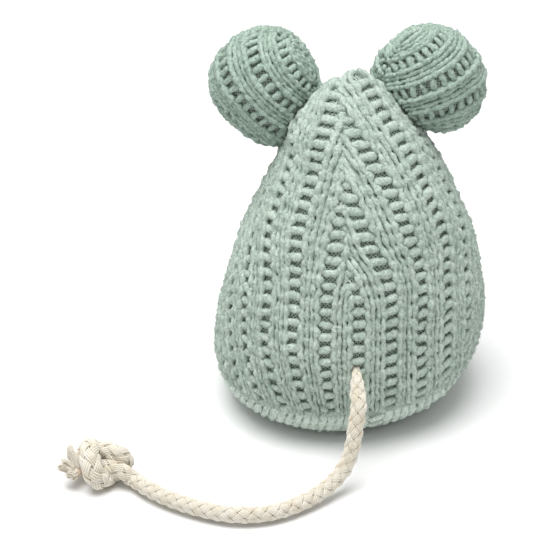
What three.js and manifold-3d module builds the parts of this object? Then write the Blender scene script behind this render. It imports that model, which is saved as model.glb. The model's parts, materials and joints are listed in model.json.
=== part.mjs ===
// A catnip mouse that sits upright on a flat base: a stuffed body of ribbed knit, two ball ears
// sewn to the sides of the head, and a braided cotton tail that ends in an overhand knot.
// Millimetres, +Z up. The mouse faces +Y, its tail leaves the back towards -Y, and the origin is
// on the floor under the middle of the body.

import * as THREE from 'three';
import { mergeVertices } from 'three/addons/utils/BufferGeometryUtils.js';
import Module from 'manifold-3d';

const wasm = await Module();
wasm.setup();

// Clearances
const SEAT_GAP = 0.3; // between pieces that lie against each other
const SEAM_GAP = 0.3; // between the two edges of a sewn seam

// Body
const BODY_HEIGHT = 87.5; // floor to the tip of the head
const BODY_WIDTH = 69; // across the widest ring
const BODY_DEPTH = 66; // back to front at the widest ring
const WIDEST_HEIGHT = 19; // where the widest ring lies
const FOOT_WIDTH = 44; // the flat that the mouse sits on
const FORWARD_LEAN = 3; // how far the tip leans forwards
const SIDE_LEAN = 6; // how far the flanks lean to the right by the height of the tip
const TIP_RIGHTING = 1.8; // how far the tip stands back up out of that lean
const HEAD_TAPER = 1.7; // exponent: a larger one keeps the flanks upright for longer
const HEAD_ROUNDING = 0.78; // exponent: a smaller one makes the tip blunter
const TIP_INSET = 1.7; // an inner layer's tip lies this many wall thicknesses lower
const KNIT_THICKNESS = 2.2;
const BASE_SEAM_HEIGHT = 9.5; // the seam between the side panels and the base panel
const BODY_SIDES = 28; // facets round the body
const FLANK_STEPS = 4; // rings from the foot to the widest ring
const HEAD_STEPS = 9; // rings from the widest ring to the tip

// Ribs: ladders of loose stitches run up the side panels as grooves. A rib's place is given in
// millimetres round the widest ring, from the middle of the back.
const RIB_REPEAT = 8.3; // from one ladder to the next
const LADDER_WIDTH = 2.7;
const LADDER_FLOOR = 1.8; // width of the bottom of the groove
const LADDER_DEPTH = 1.1;
const LADDER_DEPTH_SHARE = 0.2; // the depth is at most this share of the body's radius
const LADDERS = 14; // on each side panel
const RIB_LEAN = 2.5; // how far the ribs lean to the right by the height of the tip
const RIB_GATHER = 0.2; // share by which the ribs of the back draw together above the dart
const RIB_GATHER_REACH = 48; // the ribs past this one, on the flank and front, keep their spacing
const RIB_STEPS = 15; // rings of the ribs from the widest ring to the tip
const DART_LOW = 38; // the dart in the back, where the ribs start to draw together
const DART_HIGH = 54;
// The upright rib of a panel keeps its angle round the head, and the others run beside it.
const LEFT_RIBS = { firstLadder: 6.1, upright: 15.2, uprightAngle: 33.8 };
const RIGHT_RIBS = { firstLadder: 2.2, upright: 26.2, uprightAngle: 53.3 };

// Seams
const THREAD_DIAMETER = 1;
const THREAD_SIDES = 6;
const SEAM_STEPS = 16;
const SEAM_TOP_DROP = 6.5; // the seam threads stop this far below the tip
const BACK_SEAM_START = 5; // the back seam thread starts this far above the tail
const FRONT_SEAM_START = 3.5; // the front seam thread starts this far above the base seam

// Inside
const LINING_THICKNESS = 0.6;
const POCKET_WIDTH = 27; // the hollow in the stuffing that holds the sachet
const POCKET_HEADROOM = 6.5; // left free above the sachet
const SACHET_HEIGHT = 36; // bottom of the sachet to its tie
const SACHET_WALL = 0.6;
const SACHET_NECK_WIDTH = 8;
const SACHET_RUFFLE = 5; // height of the gathered cloth above the tie
const SACHET_FLARE = 1.6; // how far the ruffle spreads past the neck
const SACHET_STEPS = 7;
const SACHET_SIDES = 16;

// Ears
const EAR_WIDTH = 28;
const EAR_THICKNESS = 25; // back panel to front panel
const EAR_TAPER = 0.1; // how much narrower the sewn end is than the far end
const EAR_ANGLE = 118; // degrees round the head from the middle of the back
const LEFT_EAR_DROP = 15.7; // from the tip of the head down to where the left ear is sewn on
const LEFT_EAR_STANDOFF = 12.9; // head surface to the middle of the left ear
const RIGHT_EAR_DROP = 11.9;
const RIGHT_EAR_STANDOFF = 9;
const EAR_WALL = 1.8;
const EAR_MOUTH_WIDTH = 9; // the opening of the pouch at the head
const EAR_FLOP = 12; // degrees that the ear flops forwards or backwards
const EAR_SIDES = 18;
const EAR_STEPS = 8;
const EAR_RIM_START = 70; // degrees from the sewn end where the rim thread starts
const EAR_RIM_STEPS = 18;
const TACK_DIAMETER = 1; // the stitches that sew the ear on
const TACK_LENGTH = 9;

// Tail
const TAIL_DIAMETER = 5;
const TAIL_SIDES = 10;
const TAIL_EXIT_HEIGHT = 24.5;
const TAIL_EXIT_SIDE = 1.7; // the tail leaves the knit this far to the right of the back seam
const TAIL_DROOP = 45; // degrees below level at which the root hangs
const TAIL_ROOT_LENGTH = 8; // from the swing pivot to the lift pivot
const TAIL_ANCHOR_LENGTH = 10; // inner end of the cord, panel to stopper knot
const TAIL_STOPPER_DIAMETER = 9;
const TAIL_STEPS = 32;
// From the lift pivot the tail drops to the floor and curls round to the left.
const TAIL_ROUTE = [
  [1.1, -43.5, 15.0], [0.4, -45.2, 11.5], [-0.7, -46.7, 8.4], [-2.3, -48.3, 6.0],
  [-4.6, -50.3, 4.3], [-7.5, -52.8, 3.3], [-11.2, -55.7, 2.8], [-15.4, -58.4, 2.7],
  [-20.0, -60.2, 2.7], [-25.1, -60.8, 2.7], [-30.2, -60.0, 2.7], [-35.5, -57.9, 2.7],
  [-40.8, -55.0, 2.7], [-45.9, -51.4, 2.75], [-49.3, -48.3, 2.8], [-51.9, -45.4, 2.8],
];

// Knot: an overhand knot, which the cord enters at its near right and leaves on the left
const KNOT_LENGTH = 14.5;
const KNOT_BREADTH = 11;
const KNOT_HEIGHT = 8.6;
const KNOT_CENTRE = [-59, -39.4];
const KNOT_EXIT = [-65.4, -41.2, 4.9]; // where the cord leaves the knot
const KNOT_SPAN = 1.93; // the knot's curve runs from minus to plus this value
const KNOT_ARCS = 8;
const KNOT_ARC_STEPS = 3;
const KNOT_SIDES = 8;
const FRAY_SLICE = 1.6; // the cord's last whole stretch, past the knot
const FRAY_SLICE_DIAMETER = 4;
const FRAY_LENGTH = 6;
const FRAY_TUFTS = 7;
const FRAY_SPREAD = 100; // degrees from the first tuft to the last
const FRAY_ROOT_DIAMETER = 2;
const FRAY_TIP_DIAMETER = 0.7;
const FRAY_SIDES = 6;

// Face
const EYE_WIDTH = 4.4;
const EYE_DROP = 25.5; // below the tip of the head
const EYE_ANGLE = 153; // degrees round the head from the middle of the back
const NOSE_WIDTH = 8;
const NOSE_DROP = 33.5;
const FACE_RELIEF = 1.6; // how far the embroidery stands off the knit
const FACE_SIDES = 12;

const MATERIALS = {
  knit: { color: '#a9bdae', roughness: 0.95 },
  net: { color: '#4a5a50', roughness: 0.9 },
  thread: { color: '#dfe3d6', roughness: 0.8 },
  fibre: { color: '#f2f1ec', roughness: 1 },
  muslin: { color: '#e8e0cc', roughness: 0.9 },
  catnip: { color: '#7d8450', roughness: 1 },
  cotton: { color: '#ece3d2', roughness: 0.9 },
  embroidery: { color: '#3c3a38', roughness: 0.7 },
};

const { degToRad, radToDeg } = THREE.MathUtils;

// Solids: a closed geometry becomes a solid that can be joined and cut, and a mesh comes back.
function solid(geometry) {
  const bare = geometry.clone();
  bare.deleteAttribute('normal');
  bare.deleteAttribute('uv');
  const welded = mergeVertices(bare, 1e-4);
  const corners = welded.index.array;
  const triangles = [];
  for (let i = 0; i < corners.length; i += 3) {
    const [a, b, c] = corners.slice(i, i + 3);
    if (a !== b && b !== c && c !== a) {
      triangles.push(a, b, c);
    }
  }
  return new wasm.Manifold(new wasm.Mesh({
    numProp: 3,
    vertProperties: new Float32Array(welded.attributes.position.array),
    triVerts: new Uint32Array(triangles),
  }));
}

function mesh(name, shape, material) {
  const { vertProperties, triVerts } = shape.getMesh();
  const geometry = new THREE.BufferGeometry();
  geometry.setAttribute('position', new THREE.BufferAttribute(vertProperties, 3));
  geometry.setIndex(new THREE.BufferAttribute(triVerts, 1));
  geometry.computeVertexNormals();
  const finish = new THREE.MeshStandardMaterial({ ...MATERIALS[material], metalness: 0 });
  const piece = new THREE.Mesh(geometry, finish);
  piece.name = name;
  return piece;
}

function joined(shapes) {
  return shapes.reduce((whole, shape) => whole.add(shape));
}

function cut(shape, cutters) {
  return cutters.reduce((left, cutter) => left.subtract(cutter), shape);
}

// A box from one corner to the other, for keeping one side of a piece.
function block(low, high) {
  const size = new THREE.Vector3().subVectors(high, low);
  const middle = new THREE.Vector3().addVectors(low, high).multiplyScalar(0.5);
  const box = new THREE.BoxGeometry(size.x, size.y, size.z);
  return solid(box.translate(middle.x, middle.y, middle.z));
}

// A round tube along points, with flat closed ends.
function tube(points, diameter, sides, steps) {
  const corners = [];
  for (let i = 0; i < sides; i += 1) {
    const angle = (i / sides) * 2 * Math.PI;
    corners.push(new THREE.Vector2(Math.cos(angle), Math.sin(angle)).multiplyScalar(diameter / 2));
  }
  const extrudePath = new THREE.CatmullRomCurve3(points);
  const section = new THREE.Shape(corners);
  return solid(new THREE.ExtrudeGeometry(section, { steps, extrudePath, bevelEnabled: false }));
}

function ball(centre, diameter, sides) {
  const geometry = new THREE.SphereGeometry(diameter / 2, sides, Math.ceil(sides / 2));
  return solid(geometry.translate(centre.x, centre.y, centre.z));
}

// A turned shape about the Z axis, from points of radius and height.
function turned(points, sides) {
  const profile = points.map(([radius, height]) => new THREE.Vector2(radius, height));
  return new THREE.LatheGeometry(profile, sides).rotateX(Math.PI / 2);
}

// The body's radius at a height, for the outer surface or a layer inset from it.
function bodyRadius(height, inset = 0) {
  const widest = BODY_WIDTH / 2 - inset;
  const foot = FOOT_WIDTH / 2;
  if (height < WIDEST_HEIGHT) {
    const drop = (WIDEST_HEIGHT - height) / (WIDEST_HEIGHT - inset);
    return foot + (widest - foot) * Math.sqrt(1 - drop ** 2);
  }
  const rise = (height - WIDEST_HEIGHT) / (BODY_HEIGHT - TIP_INSET * inset - WIDEST_HEIGHT);
  return widest * (1 - rise ** HEAD_TAPER) ** HEAD_ROUNDING;
}

// The turned body is made a little shallower than it is wide, and leans.
const shallow = BODY_DEPTH / BODY_WIDTH;

function settle(point) {
  const rise = (point.z - WIDEST_HEIGHT) / (BODY_HEIGHT - WIDEST_HEIGHT);
  point.x += SIDE_LEAN * rise - TIP_RIGHTING * Math.max(0, rise) ** 3;
  point.y = point.y * shallow + FORWARD_LEAN * Math.max(0, rise) ** 2;
  return point;
}

// Radius and height of the body's rings, from the middle of the foot up to the tip.
function bodyProfile(inset, headSteps) {
  const top = BODY_HEIGHT - TIP_INSET * inset;
  const points = [[0, inset]];
  for (let i = 0; i < FLANK_STEPS; i += 1) {
    const drop = Math.cos((i / FLANK_STEPS) * (Math.PI / 2));
    const height = WIDEST_HEIGHT - (WIDEST_HEIGHT - inset) * drop;
    points.push([bodyRadius(height, inset), height]);
  }
  for (let i = 0; i < headSteps; i += 1) {
    const rise = Math.sin((i / headSteps) * (Math.PI / 2));
    const height = WIDEST_HEIGHT + (top - WIDEST_HEIGHT) * rise;
    points.push([bodyRadius(height, inset), height]);
  }
  points.push([0, top]);
  return points;
}

function bodyGeometry(inset) {
  const geometry = turned(bodyProfile(inset, HEAD_STEPS), BODY_SIDES);
  const place = geometry.attributes.position;
  const point = new THREE.Vector3();
  for (let i = 0; i < place.count; i += 1) {
    settle(point.fromBufferAttribute(place, i));
    place.setXYZ(i, point.x, point.y, point.z);
  }
  return geometry;
}

// A point on the outer surface: its height, and its angle in degrees from the middle of the back.
function bodyPoint(height, angle) {
  const radius = bodyRadius(height);
  const across = radius * Math.sin(degToRad(angle));
  return settle(new THREE.Vector3(across, -radius * Math.cos(degToRad(angle)), height));
}

// The angle from the middle of the back, on the back or the front, of a point that lies at x.
function angleAt(height, x, front = false) {
  const lean = settle(new THREE.Vector3(0, 0, height)).x;
  const angle = radToDeg(Math.asin((x - lean) / bodyRadius(height)));
  return front ? 180 - angle : angle;
}

// The directions up the surface and out of it at such a point.
function bodyFrame(height, angle) {
  const step = 0.1;
  const here = bodyPoint(height, angle);
  const up = bodyPoint(height + step, angle).sub(bodyPoint(height - step, angle)).normalize();
  const round = bodyPoint(height, angle + step).sub(bodyPoint(height, angle - step)).normalize();
  const out = new THREE.Vector3().crossVectors(round, up).normalize();
  return { here, up, out };
}

const group = new THREE.Group();

// Seam threads lie half sunk in the seams of the body.
const grooveDiameter = THREAD_DIAMETER + 2 * SEAT_GAP;

function seamLine(low, high, front, diameter) {
  const points = [];
  for (let i = 0; i <= SEAM_STEPS; i += 1) {
    const height = low + (high - low) * (i / SEAM_STEPS);
    points.push(bodyPoint(height, angleAt(height, 0, front)));
  }
  return tube(points, diameter, THREAD_SIDES, SEAM_STEPS);
}

function seam(name, low, high, front) {
  group.add(mesh(name, seamLine(low, high, front, THREAD_DIAMETER), 'thread'));
  return seamLine(low - SEAT_GAP, high + SEAT_GAP, front, grooveDiameter);
}

function baseSeam(diameter) {
  const radius = bodyRadius(BASE_SEAM_HEIGHT);
  const lean = settle(new THREE.Vector3(0, 0, BASE_SEAM_HEIGHT)).x;
  const ring = new THREE.TorusGeometry(radius, diameter / 2, THREAD_SIDES, BODY_SIDES);
  return solid(ring.scale(1, shallow, 1).translate(lean, 0, BASE_SEAM_HEIGHT));
}

const seamTop = BODY_HEIGHT - SEAM_TOP_DROP;
const backSeamLow = TAIL_EXIT_HEIGHT + TAIL_DIAMETER / 2 + BACK_SEAM_START;
const frontSeamLow = BASE_SEAM_HEIGHT + FRONT_SEAM_START;
const backGroove = seam('back_seam_thread', backSeamLow, seamTop, false);
const frontGroove = seam('front_seam_thread', frontSeamLow, seamTop, true);
const baseGroove = baseSeam(grooveDiameter);
group.add(mesh('base_seam_thread', baseSeam(THREAD_DIAMETER), 'thread'));

// The tail leaves the knit square to the surface, and its root hangs from a pivot just outside.
const exit = bodyFrame(TAIL_EXIT_HEIGHT, angleAt(TAIL_EXIT_HEIGHT, TAIL_EXIT_SIDE));
const ballReach = TAIL_DIAMETER / 2 + SEAT_GAP;
const swingPivot = exit.here.clone().addScaledVector(exit.out, ballReach);
const level = exit.out.clone().setZ(0).normalize();
const hang = level.clone().multiplyScalar(Math.cos(degToRad(TAIL_DROOP)));
hang.z = -Math.sin(degToRad(TAIL_DROOP));
const liftPivot = swingPivot.clone().addScaledVector(hang, TAIL_ROOT_LENGTH);

// The cord's inner end runs through the panel and the lining to a stopper knot in the stuffing.
function tailAnchor(clearance) {
  const outer = exit.here.clone().addScaledVector(exit.out, clearance);
  const inner = exit.here.clone().addScaledVector(exit.out, -TAIL_ANCHOR_LENGTH);
  const stretch = tube([outer, inner], TAIL_DIAMETER + 2 * clearance, TAIL_SIDES, 1);
  return stretch.add(ball(inner, TAIL_STOPPER_DIAMETER + 2 * clearance, TAIL_SIDES));
}

const tailBore = tailAnchor(SEAT_GAP);
group.add(mesh('tail_anchor', tailAnchor(0), 'cotton'));

// The knit cover: two side panels that meet at the back and front, and the base panel under them.
const reach = BODY_WIDTH + BODY_HEIGHT;
const seamEdge = SEAM_GAP / 2;
const baseEdge = BASE_SEAM_HEIGHT + seamEdge;
const hollow = solid(bodyGeometry(KNIT_THICKNESS));

// The angle in radians from the middle of the back at which a rib of a panel lies at a height.
function ribAngle(rib, height, side, ribs) {
  const radius = Math.max(bodyRadius(height), SEAT_GAP);
  const rise = (height - WIDEST_HEIGHT) / (BODY_HEIGHT - WIDEST_HEIGHT);
  const drift = settle(new THREE.Vector3(0, 0, height)).x - RIB_LEAN * rise;
  const gather = 1 - RIB_GATHER * THREE.MathUtils.smoothstep(height, DART_LOW, DART_HIGH);
  const upright = Math.min(ribs.upright / radius, degToRad(ribs.uprightAngle));
  const gathered = (Math.min(rib, RIB_GATHER_REACH) - ribs.upright) / gather;
  const plain = Math.max(0, rib - RIB_GATHER_REACH);
  return upright + (gathered + plain - side * drift) / radius;
}

// The outside of one panel, carried on round the body: between two ladders the rib is left full.
function ribbedGeometry(side, ribs) {
  const pastSeam = Math.PI / 2;
  const steps = [
    [-LADDER_WIDTH / 2, 0],
    [-LADDER_FLOOR / 2, LADDER_DEPTH],
    [LADDER_FLOOR / 2, LADDER_DEPTH],
    [LADDER_WIDTH / 2, 0],
  ];
  const profile = bodyProfile(0, RIB_STEPS);
  const places = [];
  for (const [radius, height] of profile) {
    const ring = (angle, depth) => {
      const reached = radius - depth;
      return settle(new THREE.Vector3(side * reached * Math.sin(angle), -reached * Math.cos(angle), height));
    };
    places.push(ring(-pastSeam, 0));
    for (let ladder = -1; ladder < LADDERS; ladder += 1) {
      for (const [offset, depth] of steps) {
        const rib = ribs.firstLadder + RIB_REPEAT * ladder + offset;
        const angle = ribAngle(rib, height, side, ribs);
        const kept = THREE.MathUtils.clamp(angle, -pastSeam, Math.PI + pastSeam);
        places.push(ring(kept, kept === angle ? Math.min(depth, LADDER_DEPTH_SHARE * radius) : 0));
      }
    }
    places.push(ring(Math.PI + pastSeam, 0));
  }
  const columns = places.length / profile.length;
  const corners = [];
  for (let row = 0; row + 1 < profile.length; row += 1) {
    for (let column = 0; column + 1 < columns; column += 1) {
      const here = row * columns + column;
      const above = here + columns;
      const [near, far] = side > 0 ? [here, here + 1] : [here + 1, here];
      const [nearUp, farUp] = side > 0 ? [above, above + 1] : [above + 1, above];
      corners.push(near, far, farUp, near, farUp, nearUp);
    }
  }
  const geometry = new THREE.BufferGeometry().setFromPoints(places);
  geometry.setIndex(corners);
  return geometry;
}

function sidePanel(name, side, ribs) {
  const edges = [side * seamEdge, side * reach].sort((a, b) => a - b);
  const low = new THREE.Vector3(edges[0], -reach, baseEdge);
  const half = block(low, new THREE.Vector3(edges[1], reach, reach));
  const panel = solid(ribbedGeometry(side, ribs)).intersect(half);
  const cutters = [hollow, baseGroove, tailBore, backGroove, frontGroove];
  group.add(mesh(name, cut(panel, cutters), 'knit'));
}

sidePanel('left_side_panel', -1, LEFT_RIBS);
sidePanel('right_side_panel', 1, RIGHT_RIBS);
const underside = block(
  new THREE.Vector3(-reach, -reach, -reach),
  new THREE.Vector3(reach, reach, BASE_SEAM_HEIGHT - seamEdge),
);
const dish = solid(bodyGeometry(0)).intersect(underside);
group.add(mesh('base_panel', cut(dish, [hollow, baseGroove]), 'knit'));

// The net lining is a dome under the side panels, open at the base.
const liningOuter = KNIT_THICKNESS + SEAT_GAP;
const liningInner = liningOuter + LINING_THICKNESS;
const dome = cut(solid(bodyGeometry(liningOuter)), [solid(bodyGeometry(liningInner)), tailBore]);
const upside = block(new THREE.Vector3(-reach, -reach, baseEdge), new THREE.Vector3(reach, reach, reach));
group.add(mesh('net_lining', dome.intersect(upside), 'net'));

// The stuffing fills the lining, with a pocket for the sachet that opens onto the base panel.
const sachetFloor = KNIT_THICKNESS + SEAT_GAP;
const sachetTop = sachetFloor + SACHET_HEIGHT;
const pocketRadius = POCKET_WIDTH / 2;
const pocketTop = sachetTop + SACHET_RUFFLE + POCKET_HEADROOM;
const pocket = solid(turned([
  [0, 0],
  [pocketRadius, 0],
  [pocketRadius, pocketTop - pocketRadius / 2],
  [pocketRadius / 2, pocketTop],
  [0, pocketTop],
], SACHET_SIDES));
const fibre = solid(bodyGeometry(liningInner + SEAT_GAP));
group.add(mesh('body_stuffing', cut(fibre, [pocket, tailBore]), 'fibre'));

// The sachet is a small muslin bag, gathered at its neck by a tie and filled with dried catnip.
const neckRadius = SACHET_NECK_WIDTH / 2;
const swollen = pocketRadius - SEAT_GAP - neckRadius;

function sachetBag(inset, ruffle) {
  const points = [[0, sachetFloor + inset]];
  for (let i = 0; i <= SACHET_STEPS; i += 1) {
    const share = i / SACHET_STEPS;
    const swell = Math.sin(Math.PI * (0.25 + 0.75 * share)) ** 0.6;
    points.push([neckRadius + swollen * swell - inset, sachetTop - (SACHET_HEIGHT - inset) * (1 - share)]);
  }
  if (ruffle > 0) {
    points.push([neckRadius + SACHET_FLARE - inset, sachetTop + ruffle]);
  }
  points.push([0, sachetTop + ruffle]);
  return solid(turned(points, SACHET_SIDES));
}

const bagMouth = sachetBag(SACHET_WALL, SACHET_RUFFLE + SEAT_GAP);
group.add(mesh('catnip_sachet', sachetBag(0, SACHET_RUFFLE).subtract(bagMouth), 'muslin'));
group.add(mesh('dried_catnip', sachetBag(SACHET_WALL + SEAT_GAP, 0), 'catnip'));
const tieRadius = neckRadius + 2 * SEAT_GAP + THREAD_DIAMETER / 2;
const tie = new THREE.TorusGeometry(tieRadius, THREAD_DIAMETER / 2, THREAD_SIDES, SACHET_SIDES);
group.add(mesh('sachet_tie', solid(tie.translate(0, 0, sachetTop)), 'thread'));

// An ear is a stuffed pouch of two knit panels. Its frame has +Y up the head and +Z out of it.
const earRadius = EAR_WIDTH / 2;

function earPoint(angle, inset) {
  const taper = 1 - EAR_TAPER * Math.cos(angle);
  return [(earRadius - inset) * Math.sin(angle) * taper, -(earRadius - inset) * Math.cos(angle)];
}

function earBall(inset, lift) {
  const points = [];
  for (let i = 1; i < EAR_STEPS; i += 1) {
    points.push(earPoint((i / EAR_STEPS) * Math.PI, inset));
  }
  const ends = [[0, inset - earRadius], ...points, [0, earRadius - inset]];
  const geometry = turned(ends, EAR_SIDES);
  const flat = (EAR_THICKNESS / 2 - inset) / (earRadius - inset);
  return solid(geometry.scale(flat, 1, 1).translate(0, 0, lift));
}

function earRim(diameter, lift, slack) {
  const start = degToRad(EAR_RIM_START) - slack / earRadius;
  const points = [];
  for (let i = 0; i <= EAR_RIM_STEPS; i += 1) {
    const angle = start + (2 * Math.PI - 2 * start) * (i / EAR_RIM_STEPS);
    const [across, along] = earPoint(angle, 0);
    points.push(new THREE.Vector3(0, across, along + lift));
  }
  return tube(points, diameter, THREAD_SIDES, EAR_RIM_STEPS);
}

function ear(name, side, drop, standoff) {
  const { here, up, out } = bodyFrame(BODY_HEIGHT - drop, side * EAR_ANGLE);
  const pivotLift = SEAT_GAP + TACK_DIAMETER / 2;
  const pivot = here.clone().addScaledVector(out, pivotLift);
  const lift = standoff - pivotLift;
  const across = new THREE.Vector3().crossVectors(up, out);
  const frame = new THREE.Matrix4().makeBasis(across, up, out).setPosition(pivot);

  const head = bodyGeometry(-SEAT_GAP).applyMatrix4(frame.clone().invert());
  const cutters = [-1, -0.5, 0, 0.5, 1].map((share) => (
    solid(head.clone().rotateY(degToRad(EAR_FLOP * share)))
  ));
  const boreRadius = TACK_DIAMETER / 2 + SEAT_GAP;
  const boreLength = TACK_LENGTH + 2 * SEAT_GAP;
  cutters.push(solid(new THREE.CylinderGeometry(boreRadius, boreRadius, boreLength, THREAD_SIDES)));
  const mouthRadius = EAR_MOUTH_WIDTH / 2;
  const mouth = turned([
    [0, -earRadius], [mouthRadius, -earRadius], [mouthRadius, lift], [0, lift],
  ], EAR_SIDES);

  const pouch = cut(earBall(0, lift), [earBall(EAR_WALL, lift), solid(mouth), ...cutters]);
  const rimGroove = earRim(grooveDiameter, lift, SEAT_GAP);
  const halves = [
    block(new THREE.Vector3(-reach, -reach, -reach), new THREE.Vector3(-seamEdge, reach, reach)),
    block(new THREE.Vector3(seamEdge, -reach, -reach), new THREE.Vector3(reach, reach, reach)),
  ];
  const [back, front] = side > 0 ? halves : halves.toReversed();

  const pieces = new THREE.Group();
  pieces.position.copy(pivot);
  pieces.quaternion.setFromRotationMatrix(frame);
  pieces.add(mesh(`${name}_back_panel`, cut(pouch.intersect(back), [rimGroove]), 'knit'));
  pieces.add(mesh(`${name}_front_panel`, cut(pouch.intersect(front), [rimGroove]), 'knit'));
  pieces.add(mesh(`${name}_rim_thread`, earRim(THREAD_DIAMETER, lift, 0), 'thread'));
  pieces.add(mesh(`${name}_stuffing`, cut(earBall(EAR_WALL + SEAT_GAP, lift), cutters), 'fibre'));
  const tackRadius = TACK_DIAMETER / 2;
  const tack = new THREE.CylinderGeometry(tackRadius, tackRadius, TACK_LENGTH, THREAD_SIDES);
  pieces.add(mesh(`${name}_tack_stitch`, solid(tack), 'thread'));
  group.add(pieces);
}

ear('left_ear', -1, LEFT_EAR_DROP, LEFT_EAR_STANDOFF);
ear('right_ear', 1, RIGHT_EAR_DROP, RIGHT_EAR_STANDOFF);

// The tail root turns on the swing pivot, and the free cord on the lift pivot at the root's end.
const tailBase = new THREE.Group();
tailBase.position.copy(swingPivot);
group.add(tailBase);
const tail = new THREE.Group();
tail.position.copy(liftPivot).sub(swingPivot);
tailBase.add(tail);

function hangFrom(holder, pivot, piece) {
  piece.geometry.translate(-pivot.x, -pivot.y, -pivot.z);
  holder.add(piece);
}

const rootEnd = liftPivot.clone().addScaledVector(hang, -ballReach);
const root = tube([swingPivot, rootEnd], TAIL_DIAMETER, TAIL_SIDES, 1);
const rootBall = ball(swingPivot, TAIL_DIAMETER, TAIL_SIDES);
hangFrom(tailBase, swingPivot, mesh('tail_root', root.add(rootBall), 'cotton'));

const route = [liftPivot, ...TAIL_ROUTE.map((point) => new THREE.Vector3(...point))];
const freeCord = tube(route, TAIL_DIAMETER, TAIL_SIDES, TAIL_STEPS);
const cordBall = ball(liftPivot, TAIL_DIAMETER, TAIL_SIDES);
hangFrom(tail, liftPivot, mesh('tail_cord', freeCord.add(cordBall), 'cotton'));

// The knot's middle follows the simplest open knotted curve, scaled to the knot's three sizes.
const knotScale = [
  (KNOT_LENGTH - TAIL_DIAMETER) / 4,
  (KNOT_BREADTH - TAIL_DIAMETER) / 4,
  (KNOT_HEIGHT - TAIL_DIAMETER) / 18,
];

function knotPoint(t) {
  return new THREE.Vector3(
    KNOT_CENTRE[0] - knotScale[0] * (t ** 3 - 3 * t),
    KNOT_CENTRE[1] - knotScale[1] * (t ** 4 - 4 * t ** 2 + 2),
    KNOT_HEIGHT / 2 + SEAT_GAP + knotScale[2] * (t ** 5 - 10 * t),
  );
}

const cordEnd = route.at(-1);
const cordHeading = cordEnd.clone().sub(route.at(-2)).normalize();
const knotLine = [SEAT_GAP, ballReach].map((ahead) => cordEnd.clone().addScaledVector(cordHeading, ahead));
const knotPoints = KNOT_ARCS * KNOT_ARC_STEPS - 1;
for (let i = 0; i < knotPoints; i += 1) {
  knotLine.push(knotPoint(KNOT_SPAN * (2 * (i / (knotPoints - 1)) - 1)));
}
const knotExit = new THREE.Vector3(...KNOT_EXIT);
knotLine.push(knotExit);
const knotArcs = [];
for (let arc = 0; arc < KNOT_ARCS; arc += 1) {
  const first = arc * KNOT_ARC_STEPS;
  const points = knotLine.slice(first, first + KNOT_ARC_STEPS + 2);
  knotArcs.push(tube(points, TAIL_DIAMETER, KNOT_SIDES, points.length - 1));
}
hangFrom(tail, liftPivot, mesh('tail_knot', joined(knotArcs), 'cotton'));

// The frayed end fans out from a slice of the cord just past the knot.
const knotHeading = knotExit.clone().sub(knotLine.at(-2)).normalize();
const frayRoot = knotExit.clone().addScaledVector(knotHeading, SEAT_GAP);
const frayHeart = frayRoot.clone().addScaledVector(knotHeading, FRAY_SLICE);
const tufts = [tube([frayRoot, frayHeart], FRAY_SLICE_DIAMETER, FRAY_SIDES, 1)];
for (let i = 0; i < FRAY_TUFTS; i += 1) {
  const fan = degToRad(FRAY_SPREAD * (i / (FRAY_TUFTS - 1) - 0.5));
  const dip = degToRad(i % 2 === 0 ? 24 : -6);
  const heading = new THREE.Vector3(-Math.cos(fan) * Math.cos(dip), Math.sin(fan), -Math.sin(dip));
  const tuft = new THREE.CylinderGeometry(
    FRAY_TIP_DIAMETER / 2, FRAY_ROOT_DIAMETER / 2, FRAY_LENGTH, FRAY_SIDES,
  );
  tuft.translate(0, FRAY_LENGTH / 2, 0);
  const turn = new THREE.Quaternion().setFromUnitVectors(new THREE.Vector3(0, 1, 0), heading.normalize());
  tuft.applyQuaternion(turn).translate(frayHeart.x, frayHeart.y, frayHeart.z);
  tufts.push(solid(tuft));
}
hangFrom(tail, liftPivot, mesh('tail_frayed_end', joined(tufts), 'cotton'));

// Embroidered eyes and nose lie on the front of the head, shaped to it.
const faceCutters = [solid(bodyGeometry(-SEAT_GAP)), frontGroove];

function embroidery(name, width, drop, angle) {
  const { here, up, out } = bodyFrame(BODY_HEIGHT - drop, angle);
  const across = new THREE.Vector3().crossVectors(up, out);
  const dome = new THREE.SphereGeometry(width / 2, FACE_SIDES, FACE_SIDES / 2);
  dome.scale(1, 0.8, (2 * FACE_RELIEF) / width);
  dome.applyMatrix4(new THREE.Matrix4().makeBasis(across, up, out).setPosition(here));
  group.add(mesh(name, cut(solid(dome), faceCutters), 'embroidery'));
}

embroidery('left_eye', EYE_WIDTH, EYE_DROP, -EYE_ANGLE);
embroidery('right_eye', EYE_WIDTH, EYE_DROP, EYE_ANGLE);
embroidery('nose', NOSE_WIDTH, NOSE_DROP, angleAt(BODY_HEIGHT - NOSE_DROP, 0, true));

export default group;
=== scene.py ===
# %% [markdown]
# # A knitted catnip mouse
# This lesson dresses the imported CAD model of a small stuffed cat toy: a pear-shaped body of ribbed
# chenille knit, two round stuffed ears and a braided cotton tail that ends in a knot and a fray.
# Everything is built in the CAD frame, in metres, so a piece goes where its solid already is. All
# shape work is done in millimetres and scaled once, when a mesh is made.

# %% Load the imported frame
import json
import math

import bpy
import numpy as np
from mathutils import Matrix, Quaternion, Vector


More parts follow.
